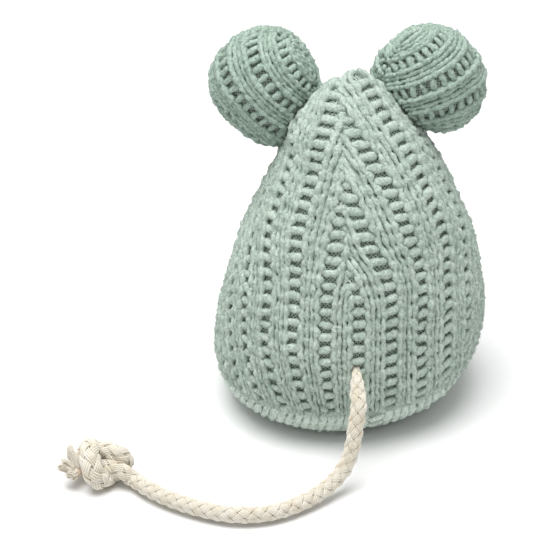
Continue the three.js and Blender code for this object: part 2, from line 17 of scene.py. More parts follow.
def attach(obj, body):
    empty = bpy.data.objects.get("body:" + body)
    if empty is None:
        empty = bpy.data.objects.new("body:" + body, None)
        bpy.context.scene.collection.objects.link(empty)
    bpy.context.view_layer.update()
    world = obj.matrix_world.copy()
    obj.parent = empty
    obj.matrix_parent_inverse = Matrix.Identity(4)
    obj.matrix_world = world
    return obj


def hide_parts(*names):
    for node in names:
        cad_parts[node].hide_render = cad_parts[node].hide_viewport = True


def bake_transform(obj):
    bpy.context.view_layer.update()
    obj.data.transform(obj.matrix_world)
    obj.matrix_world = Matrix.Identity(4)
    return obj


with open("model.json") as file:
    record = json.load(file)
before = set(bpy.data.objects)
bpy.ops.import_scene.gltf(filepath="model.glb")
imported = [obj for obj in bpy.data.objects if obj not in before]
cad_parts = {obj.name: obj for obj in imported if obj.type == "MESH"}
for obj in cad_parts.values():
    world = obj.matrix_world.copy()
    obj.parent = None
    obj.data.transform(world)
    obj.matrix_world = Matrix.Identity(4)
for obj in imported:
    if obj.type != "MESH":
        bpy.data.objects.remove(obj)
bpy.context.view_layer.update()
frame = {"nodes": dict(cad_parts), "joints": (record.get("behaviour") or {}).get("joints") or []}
MM = 0.001
PIVOTS = {joint["name"]: np.array(joint["pos_m"]) / MM for joint in frame["joints"]}

# %% [markdown]
# ## Camera
# The mouse is seen from behind and from 28 degrees above, from a little over half a metre away.
# A long lens keeps the ears and the tail in the same proportion. The camera is turned to the
# middle of the picture rather than shifted, so the other views stay centred too.

# %% Camera
EYE = Vector((0.0, -476.9, 293.9)) * MM
AIM = Vector((-17.85, 0.0, 33.2)) * MM
ROLL = math.radians(-2.9)
lens = bpy.data.cameras.new("studio_camera")
lens.lens = 141.4
lens.sensor_width = 36
camera = bpy.data.objects.new("studio_camera", lens)
bpy.context.collection.objects.link(camera)
camera.location = EYE
camera.rotation_mode = "QUATERNION"
facing = (AIM - EYE).to_track_quat("-Z", "Y")
camera.rotation_quaternion = facing @ Quaternion((0, 0, 1), ROLL)
bpy.context.scene.camera = camera
print("the camera is", round((AIM - EYE).length / MM), "mm from the middle of the picture")

# %% [markdown]
# ## Yarns as swept tubes
# Knit, braid, stitches and fringe are all yarn: long soft strands that follow a line. A curve with
# a bevel would give round tubes, but a yarn in cloth is pressed flat against its neighbours, so the
# helper below sweeps an oval along a line and keeps its flat side to the cloth's surface. It also
# writes a UV map, millimetres along the yarn and shares of a turn around it.

# %% Lines and meshes
rng = np.random.default_rng(27)


def unit(vectors):
    """Scale each vector to length 1."""
    return vectors / np.maximum(np.linalg.norm(vectors, axis=-1, keepdims=True), 1e-9)


def lengths(line):
    """How far along a line each of its points lies."""
    return np.concatenate([[0], np.cumsum(np.linalg.norm(np.diff(line, axis=0), axis=1))])


def add_mesh(name, points, faces, uv):
    """Make a mesh object from points in millimetres."""
    mesh = bpy.data.meshes.new(name)
    mesh.from_pydata(points * MM, [], faces)
    layer = mesh.uv_layers.new(name="yarn_mm")
    layer.data.foreach_set("uv", np.asarray(uv, dtype=np.float32).ravel())
    mesh.polygons.foreach_set("use_smooth", [True] * len(mesh.polygons))
    mesh.update()
    made = bpy.data.objects.new(name, mesh)
    bpy.context.collection.objects.link(made)
    print(f"{name}: {sum(len(face) - 2 for face in faces)} triangles")
    return made


# %% Sweeping yarns into one mesh


def sweep(name, yarns, sides=8):
    """Sweep ovals along yarns, each (line, outward normals, half widths, half heights)."""
    points, faces, uv = [], [], []
    base = 0
    turn = np.linspace(0, 2 * np.pi, sides, endpoint=False)
    for line, normal, wide, high in yarns:
        count = len(line)
        along = unit(np.gradient(line, axis=0))
        across = unit(np.cross(along, normal))
        up = np.cross(across, along)
        wide = np.broadcast_to(wide, count)[:, None, None]
        high = np.broadcast_to(high, count)[:, None, None]
        oval = across[:, None] * wide * np.cos(turn)[:, None]
        oval = oval + up[:, None] * high * np.sin(turn)[:, None]
        points.append((line[:, None] + oval).reshape(-1, 3))
        first = line[0] - along[0] * high[0, 0] * 0.6
        final = line[-1] + along[-1] * high[-1, 0] * 0.6
        points.append(np.array([first, final]))
        run = lengths(line)
        ring, side = np.meshgrid(np.arange(count - 1), np.arange(sides), indexing="ij")
        ring, side = ring.ravel(), side.ravel()
        after = (side + 1) % sides
        quads = np.stack([ring * sides + side, (ring + 1) * sides + side,
                          (ring + 1) * sides + after, ring * sides + after], axis=1)
        faces.extend((quads + base).tolist())
        low, top = side / sides, (side + 1) / sides
        corner = [run[ring], low, run[ring + 1], low, run[ring + 1], top, run[ring], top]
        uv.append(np.stack(corner, axis=1).reshape(-1, 2))
        last = base + (count - 1) * sides
        tip = base + count * sides
        for k in range(sides):
            k1 = (k + 1) % sides
            faces.append((base + k, base + k1, tip))
            faces.append((last + k1, last + k, tip + 1))
            near, far = k / sides, (k + 1) / sides
            uv.append(np.array([[0, near], [0, far], [0, near]]))
            uv.append(np.array([[run[-1], far], [run[-1], near], [run[-1], far]]))
        base += count * sides + 2
    return add_mesh(name, np.concatenate(points), faces, np.concatenate(uv))


# %% [markdown]
# ## Tail cord
# The tail is an eight-strand braid of cotton: four strands wind one way, four the other, and each
# passes over one and under the next. It leaves the back, droops to the floor, runs backwards in a
# loose curve and comes round to the left, where an overhand knot stops it. The route repeats the
# CAD tail's points, so the braid lies where the solid lies.

# %% Tail route
EXIT = np.array([1.7, -32.605, 24.5])
SWING_PIVOT = PIVOTS["tail_swing"]
LIFT_PIVOT = PIVOTS["tail_lift"]
EXIT_OUT = unit(SWING_PIVOT - EXIT)
TAIL_ROUTE = np.array([
    [1.1, -43.5, 15.0], [0.4, -45.2, 11.5], [-0.7, -46.7, 8.4], [-2.3, -48.3, 6.0],
    [-4.6, -50.3, 4.3], [-7.5, -52.8, 3.3], [-11.2, -55.7, 2.8], [-15.4, -58.4, 2.7],
    [-20.0, -60.2, 2.7], [-25.1, -60.8, 2.7], [-30.2, -60.0, 2.7], [-35.5, -57.9, 2.7],
    [-40.8, -55.0, 2.7], [-45.9, -51.4, 2.75], [-49.3, -48.3, 2.8], [-51.9, -45.4, 2.8]])
CORD_STEP = 0.4


def resample(values, run, even):
    """The values of a line, given at the lengths run, at the lengths even."""
    return np.stack([np.interp(even, run, values[:, i]) for i in range(3)], axis=1)


def smooth_line(points, step):
    """A rounded line through the points, sampled at even steps, and the length at each sample."""
    before = 2 * points[0] - points[1]
    beyond = 2 * points[-1] - points[-2]
    p = np.vstack([before, points, beyond])
    t = np.linspace(0, 1, 24, endpoint=False)[:, None]
    parts = []
    for a, b, c, d in zip(p[:-3], p[1:-2], p[2:-1], p[3:]):
        curve = 2 * b + (c - a) * t + (2 * a - 5 * b + 4 * c - d) * t**2
        parts.append(0.5 * (curve + (3 * b - a - 3 * c + d) * t**3))
    dense = np.vstack(parts + [points[-1:]])
    run = lengths(dense)
    even = np.linspace(0, run[-1], max(2, int(round(run[-1] / step)) + 1))
    return resample(dense, run, even), even


ROOT_TUCK = 2.5
cord_heading = unit(TAIL_ROUTE[-1] - TAIL_ROUTE[-2])
SAG = np.array([0, 0, 1.6])
cord_points = np.vstack([EXIT - ROOT_TUCK * EXIT_OUT, EXIT - 0.5 * SAG, SWING_PIVOT - SAG,
                         (SWING_PIVOT + LIFT_PIVOT) / 2 - 0.6 * SAG, LIFT_PIVOT, TAIL_ROUTE,
                         TAIL_ROUTE[-1] + 0.6 * cord_heading])
tail_line, tail_run = smooth_line(cord_points, CORD_STEP)


def length_at(point):
    """How far along the tail the point nearest to this one lies."""
    return tail_run[np.argmin(np.linalg.norm(tail_line - point, axis=1))]


split_at = length_at((SWING_PIVOT + LIFT_PIVOT) / 2)
print("the tail shows", round(tail_run[-1] - length_at(EXIT), 1), "mm from the knit to the knot")

# %% [markdown]
# ## Braid
# A rope could be a round tube with a bump map, but its outline would stay smooth. Here every strand
# is four plies side by side, and each ply is a thin tube that rides over and under its neighbours.

# %% Braiding
BRAID_PITCH = 12.4
BRAID_RADIUS = 1.76
WEAVE_DEPTH = 0.3
PLIES = (-1.5, -0.5, 0.5, 1.5)
PLY_SPACING = 0.45
PLY_RADIUS = 0.25
PLY_ROUNDING = 0.07
CORE_RADIUS = 1.5


def carried_frame(line):
    """Two directions square to the line that turn as little as they can along it."""
    along = unit(np.gradient(line, axis=0))
    normal = np.empty_like(line)
    ahead = np.array([0.0, 0.0, 1.0])
    for i, heading in enumerate(along):
        ahead = unit(ahead - heading * (ahead @ heading))
        normal[i] = ahead
    return normal, np.cross(along, normal)


def braid(line, run, first, last, pitch=BRAID_PITCH, girth=1.0):
    """The plies of an eight-strand braid between two lengths along a line."""
    normal, beside = carried_frame(line)
    full = np.broadcast_to(girth, len(run))
    keep = (run >= first - 1e-6) & (run <= last + 1e-6)
    plies = []
    for way in (1, -1):
        for strand in range(4):
            angle = way * 2 * np.pi * run / pitch + strand * np.pi / 2
            weave = way * np.cos(8 * np.pi * run / pitch)
            outward = normal * np.cos(angle)[:, None] + beside * np.sin(angle)[:, None]
            centre = line + outward * (full * (BRAID_RADIUS + WEAVE_DEPTH * weave))[:, None]
            heading = unit(np.gradient(centre, axis=0))
            aside = np.cross(outward, heading)
            for ply in PLIES:
                lay = aside * PLY_SPACING * ply - outward * PLY_ROUNDING * ply * ply
                path = centre + full[:, None] * lay
                thick = PLY_RADIUS * full[keep]
                plies.append((path[keep], outward[keep], thick, thick))
    core = CORE_RADIUS * full[keep]
    plies.append((line[keep], normal[keep], core, core))
    return plies


# %% Tail braid
CORD_GIRTH = 0.9
ROOT_GIRTH = 0.45
ROOT_TAPER = 6
pinch = np.interp(tail_run, [ROOT_TUCK, ROOT_TUCK + ROOT_TAPER], [ROOT_GIRTH, CORD_GIRTH])
tail_root = sweep("tail_root_braid", braid(tail_line, tail_run, 0, split_at, girth=pinch), sides=6)
tail_cord = sweep("tail_cord_braid",
                  braid(tail_line, tail_run, split_at, tail_run[-1], girth=pinch), sides=6)


# %% [markdown]
# ## Knot
# An overhand knot goes over, under, over, under, over and under itself. Its line is drawn as it is
# seen, with each point given to the right, up and towards the eye, and the braid follows it. Pulled
# tight, the braid stretches a little, so its pitch is longer here, and the turn that lies on top of
# the others is a little fuller.

# %% Knot
KNOT_CENTRE = np.array([-60.2, -40.8, 5.3])
LOOK_UP = math.radians(28)
SEEN = np.array([[1, 0, 0], [0, math.sin(LOOK_UP), math.cos(LOOK_UP)],
                 [0, -math.cos(LOOK_UP), math.sin(LOOK_UP)]])
KNOT_WAY = np.array([
    [4.8, -2.0, 2.0], [2.4, -0.9, 1.3], [0.0, -0.5, 0.4], [-2.6, -0.3, -0.5], [-3.9, 1.0, -0.6],
    [-2.6, 2.6, -0.5], [0.2, 3.2, 0.2], [2.8, 2.5, 1.1], [4.9, 1.2, -0.1], [5.1, -0.7, -2.4],
    [3.4, -1.9, -2.0], [1.0, -3.0, 0.4], [-0.9, -3.5, 2.9], [-1.9, -2.0, 4.2], [-2.5, 0.2, 4.5],
    [-2.8, 2.4, 3.5], [-2.9, 3.9, 1.1], [-3.7, 3.6, -2.3], [-5.2, 1.5, -3.4], [-6.3, -0.6, -2.1],
    [-6.4, -1.9, -0.6]])
KNOT_PITCH = 15
TOP_TURN = 1.22

knot_line = KNOT_CENTRE + KNOT_WAY @ SEEN
knot_way = np.vstack([TAIL_ROUTE[-1] + 0.3 * cord_heading, TAIL_ROUTE[-1] + 1.6 * cord_heading,
                      knot_line])
knot_path, knot_run = smooth_line(knot_way, CORD_STEP)
knot_girth = np.interp(knot_run / knot_run[-1], [0, 0.12, 0.48, 0.58, 0.72, 0.84, 1],
                       [CORD_GIRTH, 1, 1, TOP_TURN, TOP_TURN, 1, CORD_GIRTH])
knot_plies = braid(knot_path, knot_run, 0, knot_run[-1], pitch=KNOT_PITCH, girth=knot_girth)
tail_knot = sweep("tail_knot_braid", knot_plies, sides=6)

# %% [markdown]
# ## Frayed end
# Past the knot the braid comes apart into soft tufts of combed cotton that fan out from a slightly
# scorched core. Hair particles would do it too, but a few dozen tapered fibres per tuft, swept like
# the yarns, keep the exported mesh small and closed.

# %% Frayed tufts
TUFTS = np.array([[-1.2, 5.6, 0.4], [-2.6, 4.2, -0.8], [-3.9, 2.9, 1.0], [-3.9, 0.6, 1.8],
                  [-2.6, -1.9, 1.8], [0.0, -2.3, 2.2]])
FIBRES = 44
FIBRE_THICK = (0.2, 0.18, 0.08)
FIBRE_CLEAR = 0.35


def fray(start):
    """Tapered fibres that leave the cord's end in tufts."""
    made = []
    t = np.linspace(0, 1, 8)[:, None]
    for tuft in TUFTS @ SEEN:
        root = start + 0.1 * tuft + rng.normal(0, 0.3, 3) + 0.5 * SEEN[2]
        curl = rng.normal(0, 0.6, 3)
        for _ in range(FIBRES):
            bend = curl + rng.normal(0, 0.22, 3)
            spread = rng.normal(0, 0.24, 3)
            line = root + spread + tuft * t * rng.uniform(0.8, 1.0) + bend * t**2 + 0.4 * spread * t
            line[:, 2] = np.maximum(line[:, 2], FIBRE_CLEAR)
            thick = np.interp(t[:, 0], [0, 0.7, 1], FIBRE_THICK)
            made.append((line, np.broadcast_to([0.1, 0.2, 1.0], line.shape), thick, thick))
    return made


fray_heading = unit(knot_line[-1] - knot_line[-2])
fray_start = knot_line[-1] + 0.3 * fray_heading
heart_line = np.stack([fray_start + fray_heading * ahead for ahead in (-1.2, -0.4, 0.4, 1.2, 1.7)])
heart_thick = np.array([1.5, 1.5, 1.3, 0.9, 0.4])
heart_out = np.broadcast_to([0, 0, 1.0], heart_line.shape)
tail_fray = sweep("tail_fray", fray(fray_start), sides=5)
fray_core = sweep("tail_fray_core", [(heart_line, heart_out, heart_thick, heart_thick)], sides=16)

# %% [markdown]
# ## Shape of the stuffed body
# The body is a pear: widest low down, tapering to a round nose-up point that leans a little forward
# and to the right. The knit has to lie on that form, so the form is written once, as a function of
# height and of the angle round the body, and every yarn asks it for its place and its outward side.
# A few slow waves make it uneven, as stuffing pushed in by hand does: it is slack on the left flank
# and low on the right, and fuller at the left of the crown.

# %% Body form
BODY_TOP = 87.5
WIDEST_AT = 19.0
WIDEST = 34.5
FOOT = 20.6
SHALLOW = 66 / 69
SIDE_LEAN = 6.0
TIP_RIGHTING = 1.8
FORWARD_LEAN = 3.0
FOOT_SHIFT = 1.3
BASE_SEAM = 9.5


def ease(low, high, value):
    """0 below low, 1 above high and a soft step between them."""
    t = np.clip((np.asarray(value, float) - low) / (high - low), 0, 1)
    return t * t * (3 - 2 * t)


def girth_at(z, inset=0.0):
    """Half the body's width at a height, outside or for a layer inset from it."""
    z = np.asarray(z, float)
    widest = WIDEST - inset
    drop = np.clip((WIDEST_AT - z) / (WIDEST_AT - inset), 0, 1)
    rise = np.clip((z - WIDEST_AT) / (BODY_TOP - 1.7 * inset - WIDEST_AT), 0, 1)
    low = FOOT + (widest - FOOT) * np.sqrt(1 - drop**2)
    return np.where(z < WIDEST_AT, low, widest * (1 - rise**1.7)**0.78)


def middle_at(z):
    """Where the leaning body's middle lies at a height, as x and y."""
    rise = (np.asarray(z, float) - WIDEST_AT) / (BODY_TOP - WIDEST_AT)
    up = np.maximum(0, rise)
    down = np.clip(1 - np.asarray(z, float) / WIDEST_AT, 0, 1)
    return SIDE_LEAN * rise - TIP_RIGHTING * up**3 - FOOT_SHIFT * down**1.5, FORWARD_LEAN * up**2


print("half the body's width, mm:", np.round(girth_at([0, WIDEST_AT, 50, 80]), 1).tolist())

# %% Body surface
LEFT_FLANK = -1.5
RIGHT_HAUNCH = 1.3
SLACK = 1.2
CROWN_SWELL = 2.7
CROWN_RISE = (67, 75)


def plump(z, phi):
    """Slow swells of the stuffing, in millimetres."""
    swell = 0.26 * np.sin(2.3 * phi + 0.09 * z + 1.2) + 0.2 * np.sin(5.1 * phi - 0.13 * z)
    flank = np.exp(-((phi - LEFT_FLANK) / 0.6)**2) * ease(10, 24, z) * (1 - ease(60, 74, z))
    haunch = np.exp(-((phi - RIGHT_HAUNCH) / 0.6)**2) * (1 - ease(4, 17, z))
    return swell + 0.16 * np.sin(0.31 * z + 3.7 * phi + 0.5) - SLACK * flank - SLACK * haunch


def crown(z, phi):
    """The fuller left side of the top of the head, in millimetres."""
    side = np.exp(-(phi - LEFT_FLANK)**2)
    return CROWN_SWELL * side * ease(*CROWN_RISE, z) * np.clip(girth_at(z) / 5, 0, 1)


def skin(z, phi, uneven=1.0):
    """The body's outside at a height and an angle from the middle of the back."""
    z, phi = np.broadcast_arrays(np.asarray(z, float), np.asarray(phi, float))
    r = girth_at(z)
    r = r + uneven * (plump(z, phi) * np.clip(r / 12, 0, 1) + crown(z, phi))
    x, y = middle_at(z)
    return np.stack([r * np.sin(phi) + x, -r * np.cos(phi) * SHALLOW + y, z], axis=-1)


def way_out(form, u, v, du, dv):
    """The way out of a surface, from small steps to both sides of a place on it."""
    return unit(np.cross(form(u, v + dv) - form(u, v - dv), form(u + du, v) - form(u - du, v)))


def skin_normal(z, phi, uneven=1.0):
    """The way out of the body at that place."""
    z = np.clip(z, 0.2, BODY_TOP - 0.12)
    return way_out(lambda height, angle: skin(height, angle, uneven), z, phi, 0.1, 0.01)


climb_z = BODY_TOP - 0.05 - (BODY_TOP - 0.05 - BASE_SEAM) * np.linspace(1, 0, 4000)**1.6
climb_steps = np.hypot(np.diff(climb_z), np.diff(girth_at(climb_z)))
climb_run = np.concatenate([[0], np.cumsum(climb_steps)])
print("the knit is", round(climb_run[-1], 1), "mm long from the base seam to the top")

# %% [markdown]
# ## Ribs of the knit
# The cloth repeats every 8.3 mm: two plain columns of stitches, each with a proud leg of yarn and a
# sunken one, a purl yarn deep in the groove between the columns, and a ladder of loose rungs with
# holes between them. The ribs run straight up the back to a dart, and above it the two sides lean
# in and meet in chevrons at the back seam. Low on the left they are drawn in towards the back. A
# cloth simulation keeps no stitch, so the flow is written as a map instead: the place of a rib
# across the cloth, in millimetres, and a height go in, and an angle round the body comes out.

# %% Rib map
RIB_REPEAT = 8.3
FIRST_LADDER = 2.2
RIB_LEAN = 2.5
RIB_GATHER = 0.2
GATHER_REACH = 48.0
DART = (38, 54)
UPRIGHT = {1: (26.2, 0.93), -1: (15.2, 0.59)}
SEAM_OVERLAP = 0.8
HALF_ROUND = 106.0
RIGHT_SWING = 0.15
LEFT_SNUG = 0.3


def rib_angle(rib, z, side):
    """Angle round the body of a rib at a height, on the right (1) or left (-1) panel."""
    r = np.maximum(girth_at(z), 0.4)
    drift = middle_at(z)[0] - RIB_LEAN * (z - WIDEST_AT) / (BODY_TOP - WIDEST_AT)
    gather = 1 - RIB_GATHER * ease(*DART, z)
    upright, angle = UPRIGHT[side]
    turn = np.minimum(upright / r, angle)
    place = side * rib
    if side > 0:
        turn = turn - RIGHT_SWING * np.clip((z - 60) / 20, 0, 1)**2
    else:
        snug = LEFT_SNUG * np.clip((30 - z) / 18, 0, 1)**1.5
        wave = np.sin(np.pi * np.clip(place / HALF_ROUND, 0, 1))
        place = place - snug * HALF_ROUND / np.pi * wave
    gathered = (np.minimum(place, GATHER_REACH) - upright) / gather
    plain = np.maximum(place - GATHER_REACH, 0)
    return side * (turn + (gathered + plain) / r) - drift / r


first_ribs = rib_angle(FIRST_LADDER + RIB_REPEAT * np.arange(5), np.full(5, WIDEST_AT), 1)
print("ribs at the widest ring lie at", np.round(np.degrees(first_ribs)).tolist(), "degrees")

# %% Edges of the side panels


def panel_shows(place, z, phi, side):
    """Whether a point of a rib lies on its own side of the back and front seams."""
    back_limit = -SEAM_OVERLAP - 4 * (1 - ease(38, 44, z))
    limit = np.where(np.abs(phi) < np.pi / 2, back_limit, -SEAM_OVERLAP)
    return (side * place[:, 0] > limit) & (np.abs(phi) < 3.6)


def tuck(place, z, phi, side):
    """How far the yarn sinks into the seams."""
    open_back = np.where(np.abs(phi) < np.pi / 2, ease(42, 48, z), 1)
    inside = side * place[:, 0]
    sink = np.where(inside > 0, np.exp(-(inside / 1.3)**2), 1 - 0.8 * inside)
    return 0.8 * open_back * sink + 0.8 * np.exp(-((z - BASE_SEAM) / 1.1)**2)


# %% [markdown]
# ## Legs and rungs
# A leg is one swept yarn as tall as the panel. Its width swells once per row of stitches, so that
# neighbours touch, part and touch again, and the grooves between them break up into short slits.
# A rung is a short puffy bar across the ladder, whose ends hide under the legs beside it.

# %% Legs
ROW = 3.1
# Each leg: its place across the repeat, its depth, half its width and half its height, in mm.
LEGS = ((2.2, 0.78, 0.72, 0.86), (3.42, 1.12, 0.7, 0.78), (4.15, 1.7, 0.5, 0.5),
        (4.88, 1.12, 0.7, 0.78), (6.1, 0.78, 0.72, 0.86))
WIDE_BEAT, HIGH_BEAT = 0.22, 0.2


def wobble(run, step):
    """A slow random wander between about -1 and 1 along a yarn, with a knot every step."""
    knots = np.arange(run[0] - step, run[-1] + 2 * step, step)
    values = rng.uniform(-1, 1, len(knots))
    at = (run - knots[0]) / step
    low = np.clip(at.astype(int), 0, len(knots) - 2)
    share = ease(0, 1, at - low)
    return values[low] * (1 - share) + values[low + 1] * share


def runs_of(mask, least):
    """Index ranges of the unbroken runs in a mask."""
    edges = np.flatnonzero(np.diff(np.concatenate([[0], mask.astype(int), [0]])))
    return [(a, b) for a, b in zip(edges[::2], edges[1::2]) if b - a >= least]


def panel_legs(ladder, shift, side):
    """The legs that follow one ladder."""
    yarns = []
    along = np.arange(0.3, climb_run[-1] - 0.2, 0.5)
    z = np.interp(along, climb_run, climb_z)
    for offset, inset, wide, high in LEGS:
        rib = ladder + offset
        if (rib >= 0) != (side > 0):
            continue
        phi = rib_angle(rib, z, side)
        place, normal = skin(z, phi), skin_normal(z, phi)
        span = skin(z, rib_angle(rib + 0.5, z, side)) - skin(z, rib_angle(rib - 0.5, z, side))
        heading = unit(np.gradient(place, axis=0))
        square = span - heading * np.sum(span * heading, axis=1)[:, None]
        spread = np.clip(np.linalg.norm(square, axis=1), 0.7, 1.35)
        beat = np.cos(2 * np.pi * (along - shift - rng.uniform(-0.3, 0.3)) / ROW)
        sway = 0.2 * wobble(along, 1.7) + 0.1 * beat * np.sign(offset - RIB_REPEAT / 2)
        line = place + np.cross(heading, normal) * (sway * spread)[:, None]
        sink = inset + 0.14 * wobble(along, 2.3) + tuck(place, z, phi, side)
        line = line - normal * sink[:, None]
        wide = wide * spread * (1 + WIDE_BEAT * beat + 0.14 * wobble(along, 1.3))
        high = high * (1 + HIGH_BEAT * beat + 0.08 * wobble(along, 1.3))
        for a, b in runs_of(panel_shows(place, z, phi, side), 5):
            yarns.append((line[a:b], normal[a:b], wide[a:b], high[a:b]))
    return yarns


# %% Rungs
RUNG_REACH = 1.9
RUNG_SINK = 0.92
RUNG_TALL = np.array([0.82, 0.92, 0.96, 0.97, 0.96, 0.92, 0.82])
RUNG_DEEP = np.array([0.66, 0.78, 0.83, 0.84, 0.83, 0.78, 0.66])
RUNG_DIP = np.array([0.36, 0.12, 0.02, 0.0, 0.02, 0.12, 0.36])


def ladder_rungs(ladder, shift, side):
    """The short bars across one ladder, cut short where they meet a seam."""
    yarns = []
    reach = np.linspace(-RUNG_REACH, RUNG_REACH, 29)
    for step in np.arange(1.2, climb_run[-1] - 1, ROW):
        z = np.interp(step, climb_run, climb_z)
        slope = 0.06 + 0.24 * np.clip(ladder / 30, 0, 1) * (1 - ease(25, 55, z))
        tilt = slope + rng.normal(0, 0.07)
        full = rng.uniform(0.95, 1.13) * (1 + 0.1 * ease(45, 65, z))
        z = np.interp(step + shift + tilt * reach, climb_run, climb_z)
        phi = rib_angle(ladder + reach, z, side)
        shows = panel_shows(skin(z, phi), z, phi, side)
        if shows.sum() < 10 or (ladder > 0) != (side > 0):
            continue
        across = np.linspace(reach[shows].min(), reach[shows].max(), len(RUNG_TALL))
        z = np.interp(step + shift + tilt * across, climb_run, climb_z)
        phi = rib_angle(ladder + across, z, side)
        place, normal = skin(z, phi), skin_normal(z, phi)
        line = place - normal * (RUNG_SINK + RUNG_DIP + tuck(place, z, phi, side))[:, None]
        yarns.append((line, normal, full * RUNG_TALL, full * RUNG_DEEP))
    return yarns


# %% Side panels


def panel_yarns(side):
    """All the yarns of one side panel."""
    yarns = []
    for column in range(-15, 15):
        ladder = FIRST_LADDER + RIB_REPEAT * column
        shift = rng.uniform(-0.35, 0.35)
        yarns += panel_legs(ladder, shift, side) + ladder_rungs(ladder, shift, side)
    return yarns


right_knit = sweep("right_side_knit", panel_yarns(1))
left_knit = sweep("left_side_knit", panel_yarns(-1))

# %% [markdown]
# ## Base panel
# The mouse sits on a shallow dish of the same knit, with its ribs running front to back. It meets
# the sides in a seam a finger's breadth above the floor. Only one ladder shows past that seam. The
# legs are spaced along the dish's own curve, so that they stay side by side on its steep rim.

# %% Base dish
BASE_CLEAR = 0.55
SEAM_REACH = float(girth_at(BASE_SEAM))


def dish(x, y):
    """The base panel's outside under a point of the floor."""
    out = np.hypot(x, y / SHALLOW)
    curl = np.clip((out - FOOT) / (WIDEST - FOOT), 0, 1)
    z = WIDEST_AT * (1 - np.sqrt(1 - curl**2))
    return np.stack(np.broadcast_arrays(x + middle_at(z)[0], y, z + BASE_CLEAR), axis=-1)


def dish_normal(x, y):
    """The way out of the base panel at that place."""
    return way_out(dish, x, y, 0.05, 0.05)


print("the base panel reaches", round(SEAM_REACH, 1), "mm out to its seam")

# %% Base knit
BASE_LEG_SPACING = 2.05
BASE_LADDERS = (8.25,)
BASE_LEG_WIDE, BASE_LEG_HIGH, BASE_LEG_SINK = 1.08, 0.8, 0.9


def base_leg(x):
    """One leg of the base panel, from its back edge to its front edge."""
    far = SHALLOW * math.sqrt((SEAM_REACH - 0.3)**2 - x * x)
    y = np.linspace(-1, 1, int(far * 5) + 6)
    y = far * np.sign(y) * (1 - (1 - np.abs(y))**1.4)
    run = lengths(dish(x, y))
    even = np.linspace(0, run[-1], int(run[-1] / 0.55) + 3)
    y = np.interp(even, run, y)
    place, normal = dish(x, y), dish_normal(x, y)
    beat = np.cos(2 * np.pi * (even - rng.uniform(0, 0.8)) / ROW)
    sink = BASE_LEG_SINK + 0.6 * np.exp(-(place[:, 2] - BASE_SEAM)**2)
    sink = sink + 0.12 * wobble(even, 1.9)
    wide = BASE_LEG_WIDE * (1 + 0.16 * beat + 0.2 * wobble(even, 1.3))
    high = BASE_LEG_HIGH * (1 + 0.12 * beat + 0.1 * wobble(even, 1.3))
    return (place - normal * sink[:, None], normal, wide, high)


def base_rungs(x):
    """The bars across one ladder of the base panel."""
    yarns = []
    across = np.linspace(-RUNG_REACH, RUNG_REACH, len(RUNG_TALL))
    far = SHALLOW * math.sqrt((SEAM_REACH - 1.2)**2 - (abs(x) + 1.2)**2)
    for y in np.arange(-far, far, ROW * 0.8):
        place, normal = dish(x + across, y), dish_normal(x + across, y)
        line = place - normal * (RUNG_SINK + RUNG_DIP)[:, None]
        yarns.append((line, normal, RUNG_TALL, RUNG_DEEP))
    return yarns


base_yarns = []
rim_x = np.linspace(0, SEAM_REACH, 400)
rim_run = lengths(dish(rim_x, 0 * rim_x))
leg_run = np.arange(BASE_LEG_SPACING / 2, rim_run[-1] - 1.2, BASE_LEG_SPACING)
leg_x = np.interp(leg_run, rim_run, rim_x)
for x in np.concatenate([-leg_x[::-1], leg_x]):
    if min(abs(x - ladder) for ladder in BASE_LADDERS) > 1.5:
        base_yarns.append(base_leg(x))
for ladder in BASE_LADDERS:
    base_yarns += base_rungs(ladder)
base_knit = sweep("base_knit", base_yarns)

# %% [markdown]
# ## Net lining
# Behind the ladders a net keeps the stuffing in; the dark between its threads is painted shade. It is
# one closed bag just under the yarns, and only its holes' worth of it is ever seen. Its UV map is in
# millimetres, so that the threads of the net keep their size all over.

# %% Net lining


def closed_bag(name, rings, uv_of):
    """A closed bag from rings of points, with a pole at each end."""
    rows, count = len(rings), len(rings[0])
    points = np.concatenate(rings + [rings[0].mean(0)[None], rings[-1].mean(0)[None]])
    faces, uv = [], []
    for i in range(rows - 1):
        for k in range(count):
            k1 = (k + 1) % count
            faces.append((i * count + k, i * count + k1, (i + 1) * count + k1, (i + 1) * count + k))
            uv += [uv_of(i, k), uv_of(i, k + 1), uv_of(i + 1, k + 1), uv_of(i + 1, k)]
    for k in range(count):
        k1 = (k + 1) % count
        faces.append((k1, k, rows * count))
        uv += [uv_of(0, k + 1), uv_of(0, k), uv_of(-1, k)]
        faces.append(((rows - 1) * count + k, (rows - 1) * count + k1, rows * count + 1))
        uv += [uv_of(rows - 1, k), uv_of(rows - 1, k + 1), uv_of(rows, k)]
    return add_mesh(name, points, faces, uv)


LINING_DEPTH = 1.5
LINING_SIDES = 160
upper_z = np.interp(np.linspace(0, climb_run[-1] - 0.4, 96), climb_run, climb_z)
lining_z = np.concatenate([np.linspace(1.2, 9, 12), upper_z])
lining_phi = np.linspace(-np.pi, np.pi, LINING_SIDES, endpoint=False)
lining_rings = [skin(z, lining_phi) - LINING_DEPTH * skin_normal(z, lining_phi) for z in lining_z]
lining_girth = np.append(girth_at(lining_z), 0.0)
net_lining = closed_bag("net_lining_bag", lining_rings, lambda i, k: (
    lining_girth[i] * (k / LINING_SIDES - 0.5) * 2 * np.pi, 1.0 * i))


# %% [markdown]
# ## Ears
# Each ear is a small stuffed round of the same knit, made of a back and a front panel that meet in
# a seam round the rim. A sphere would look too perfect, so each ear starts as a ball, a little flat
# from back to front, and is then let out or taken in where the stuffing is full or slack. It is sewn
# to the side of the head and presses broadly against it, so every point that would lie inside the
# head is pushed out to the head's own surface.

# %% Ear places
EAR_ANGLE = math.radians(118)
PIVOT_OUT = 0.8


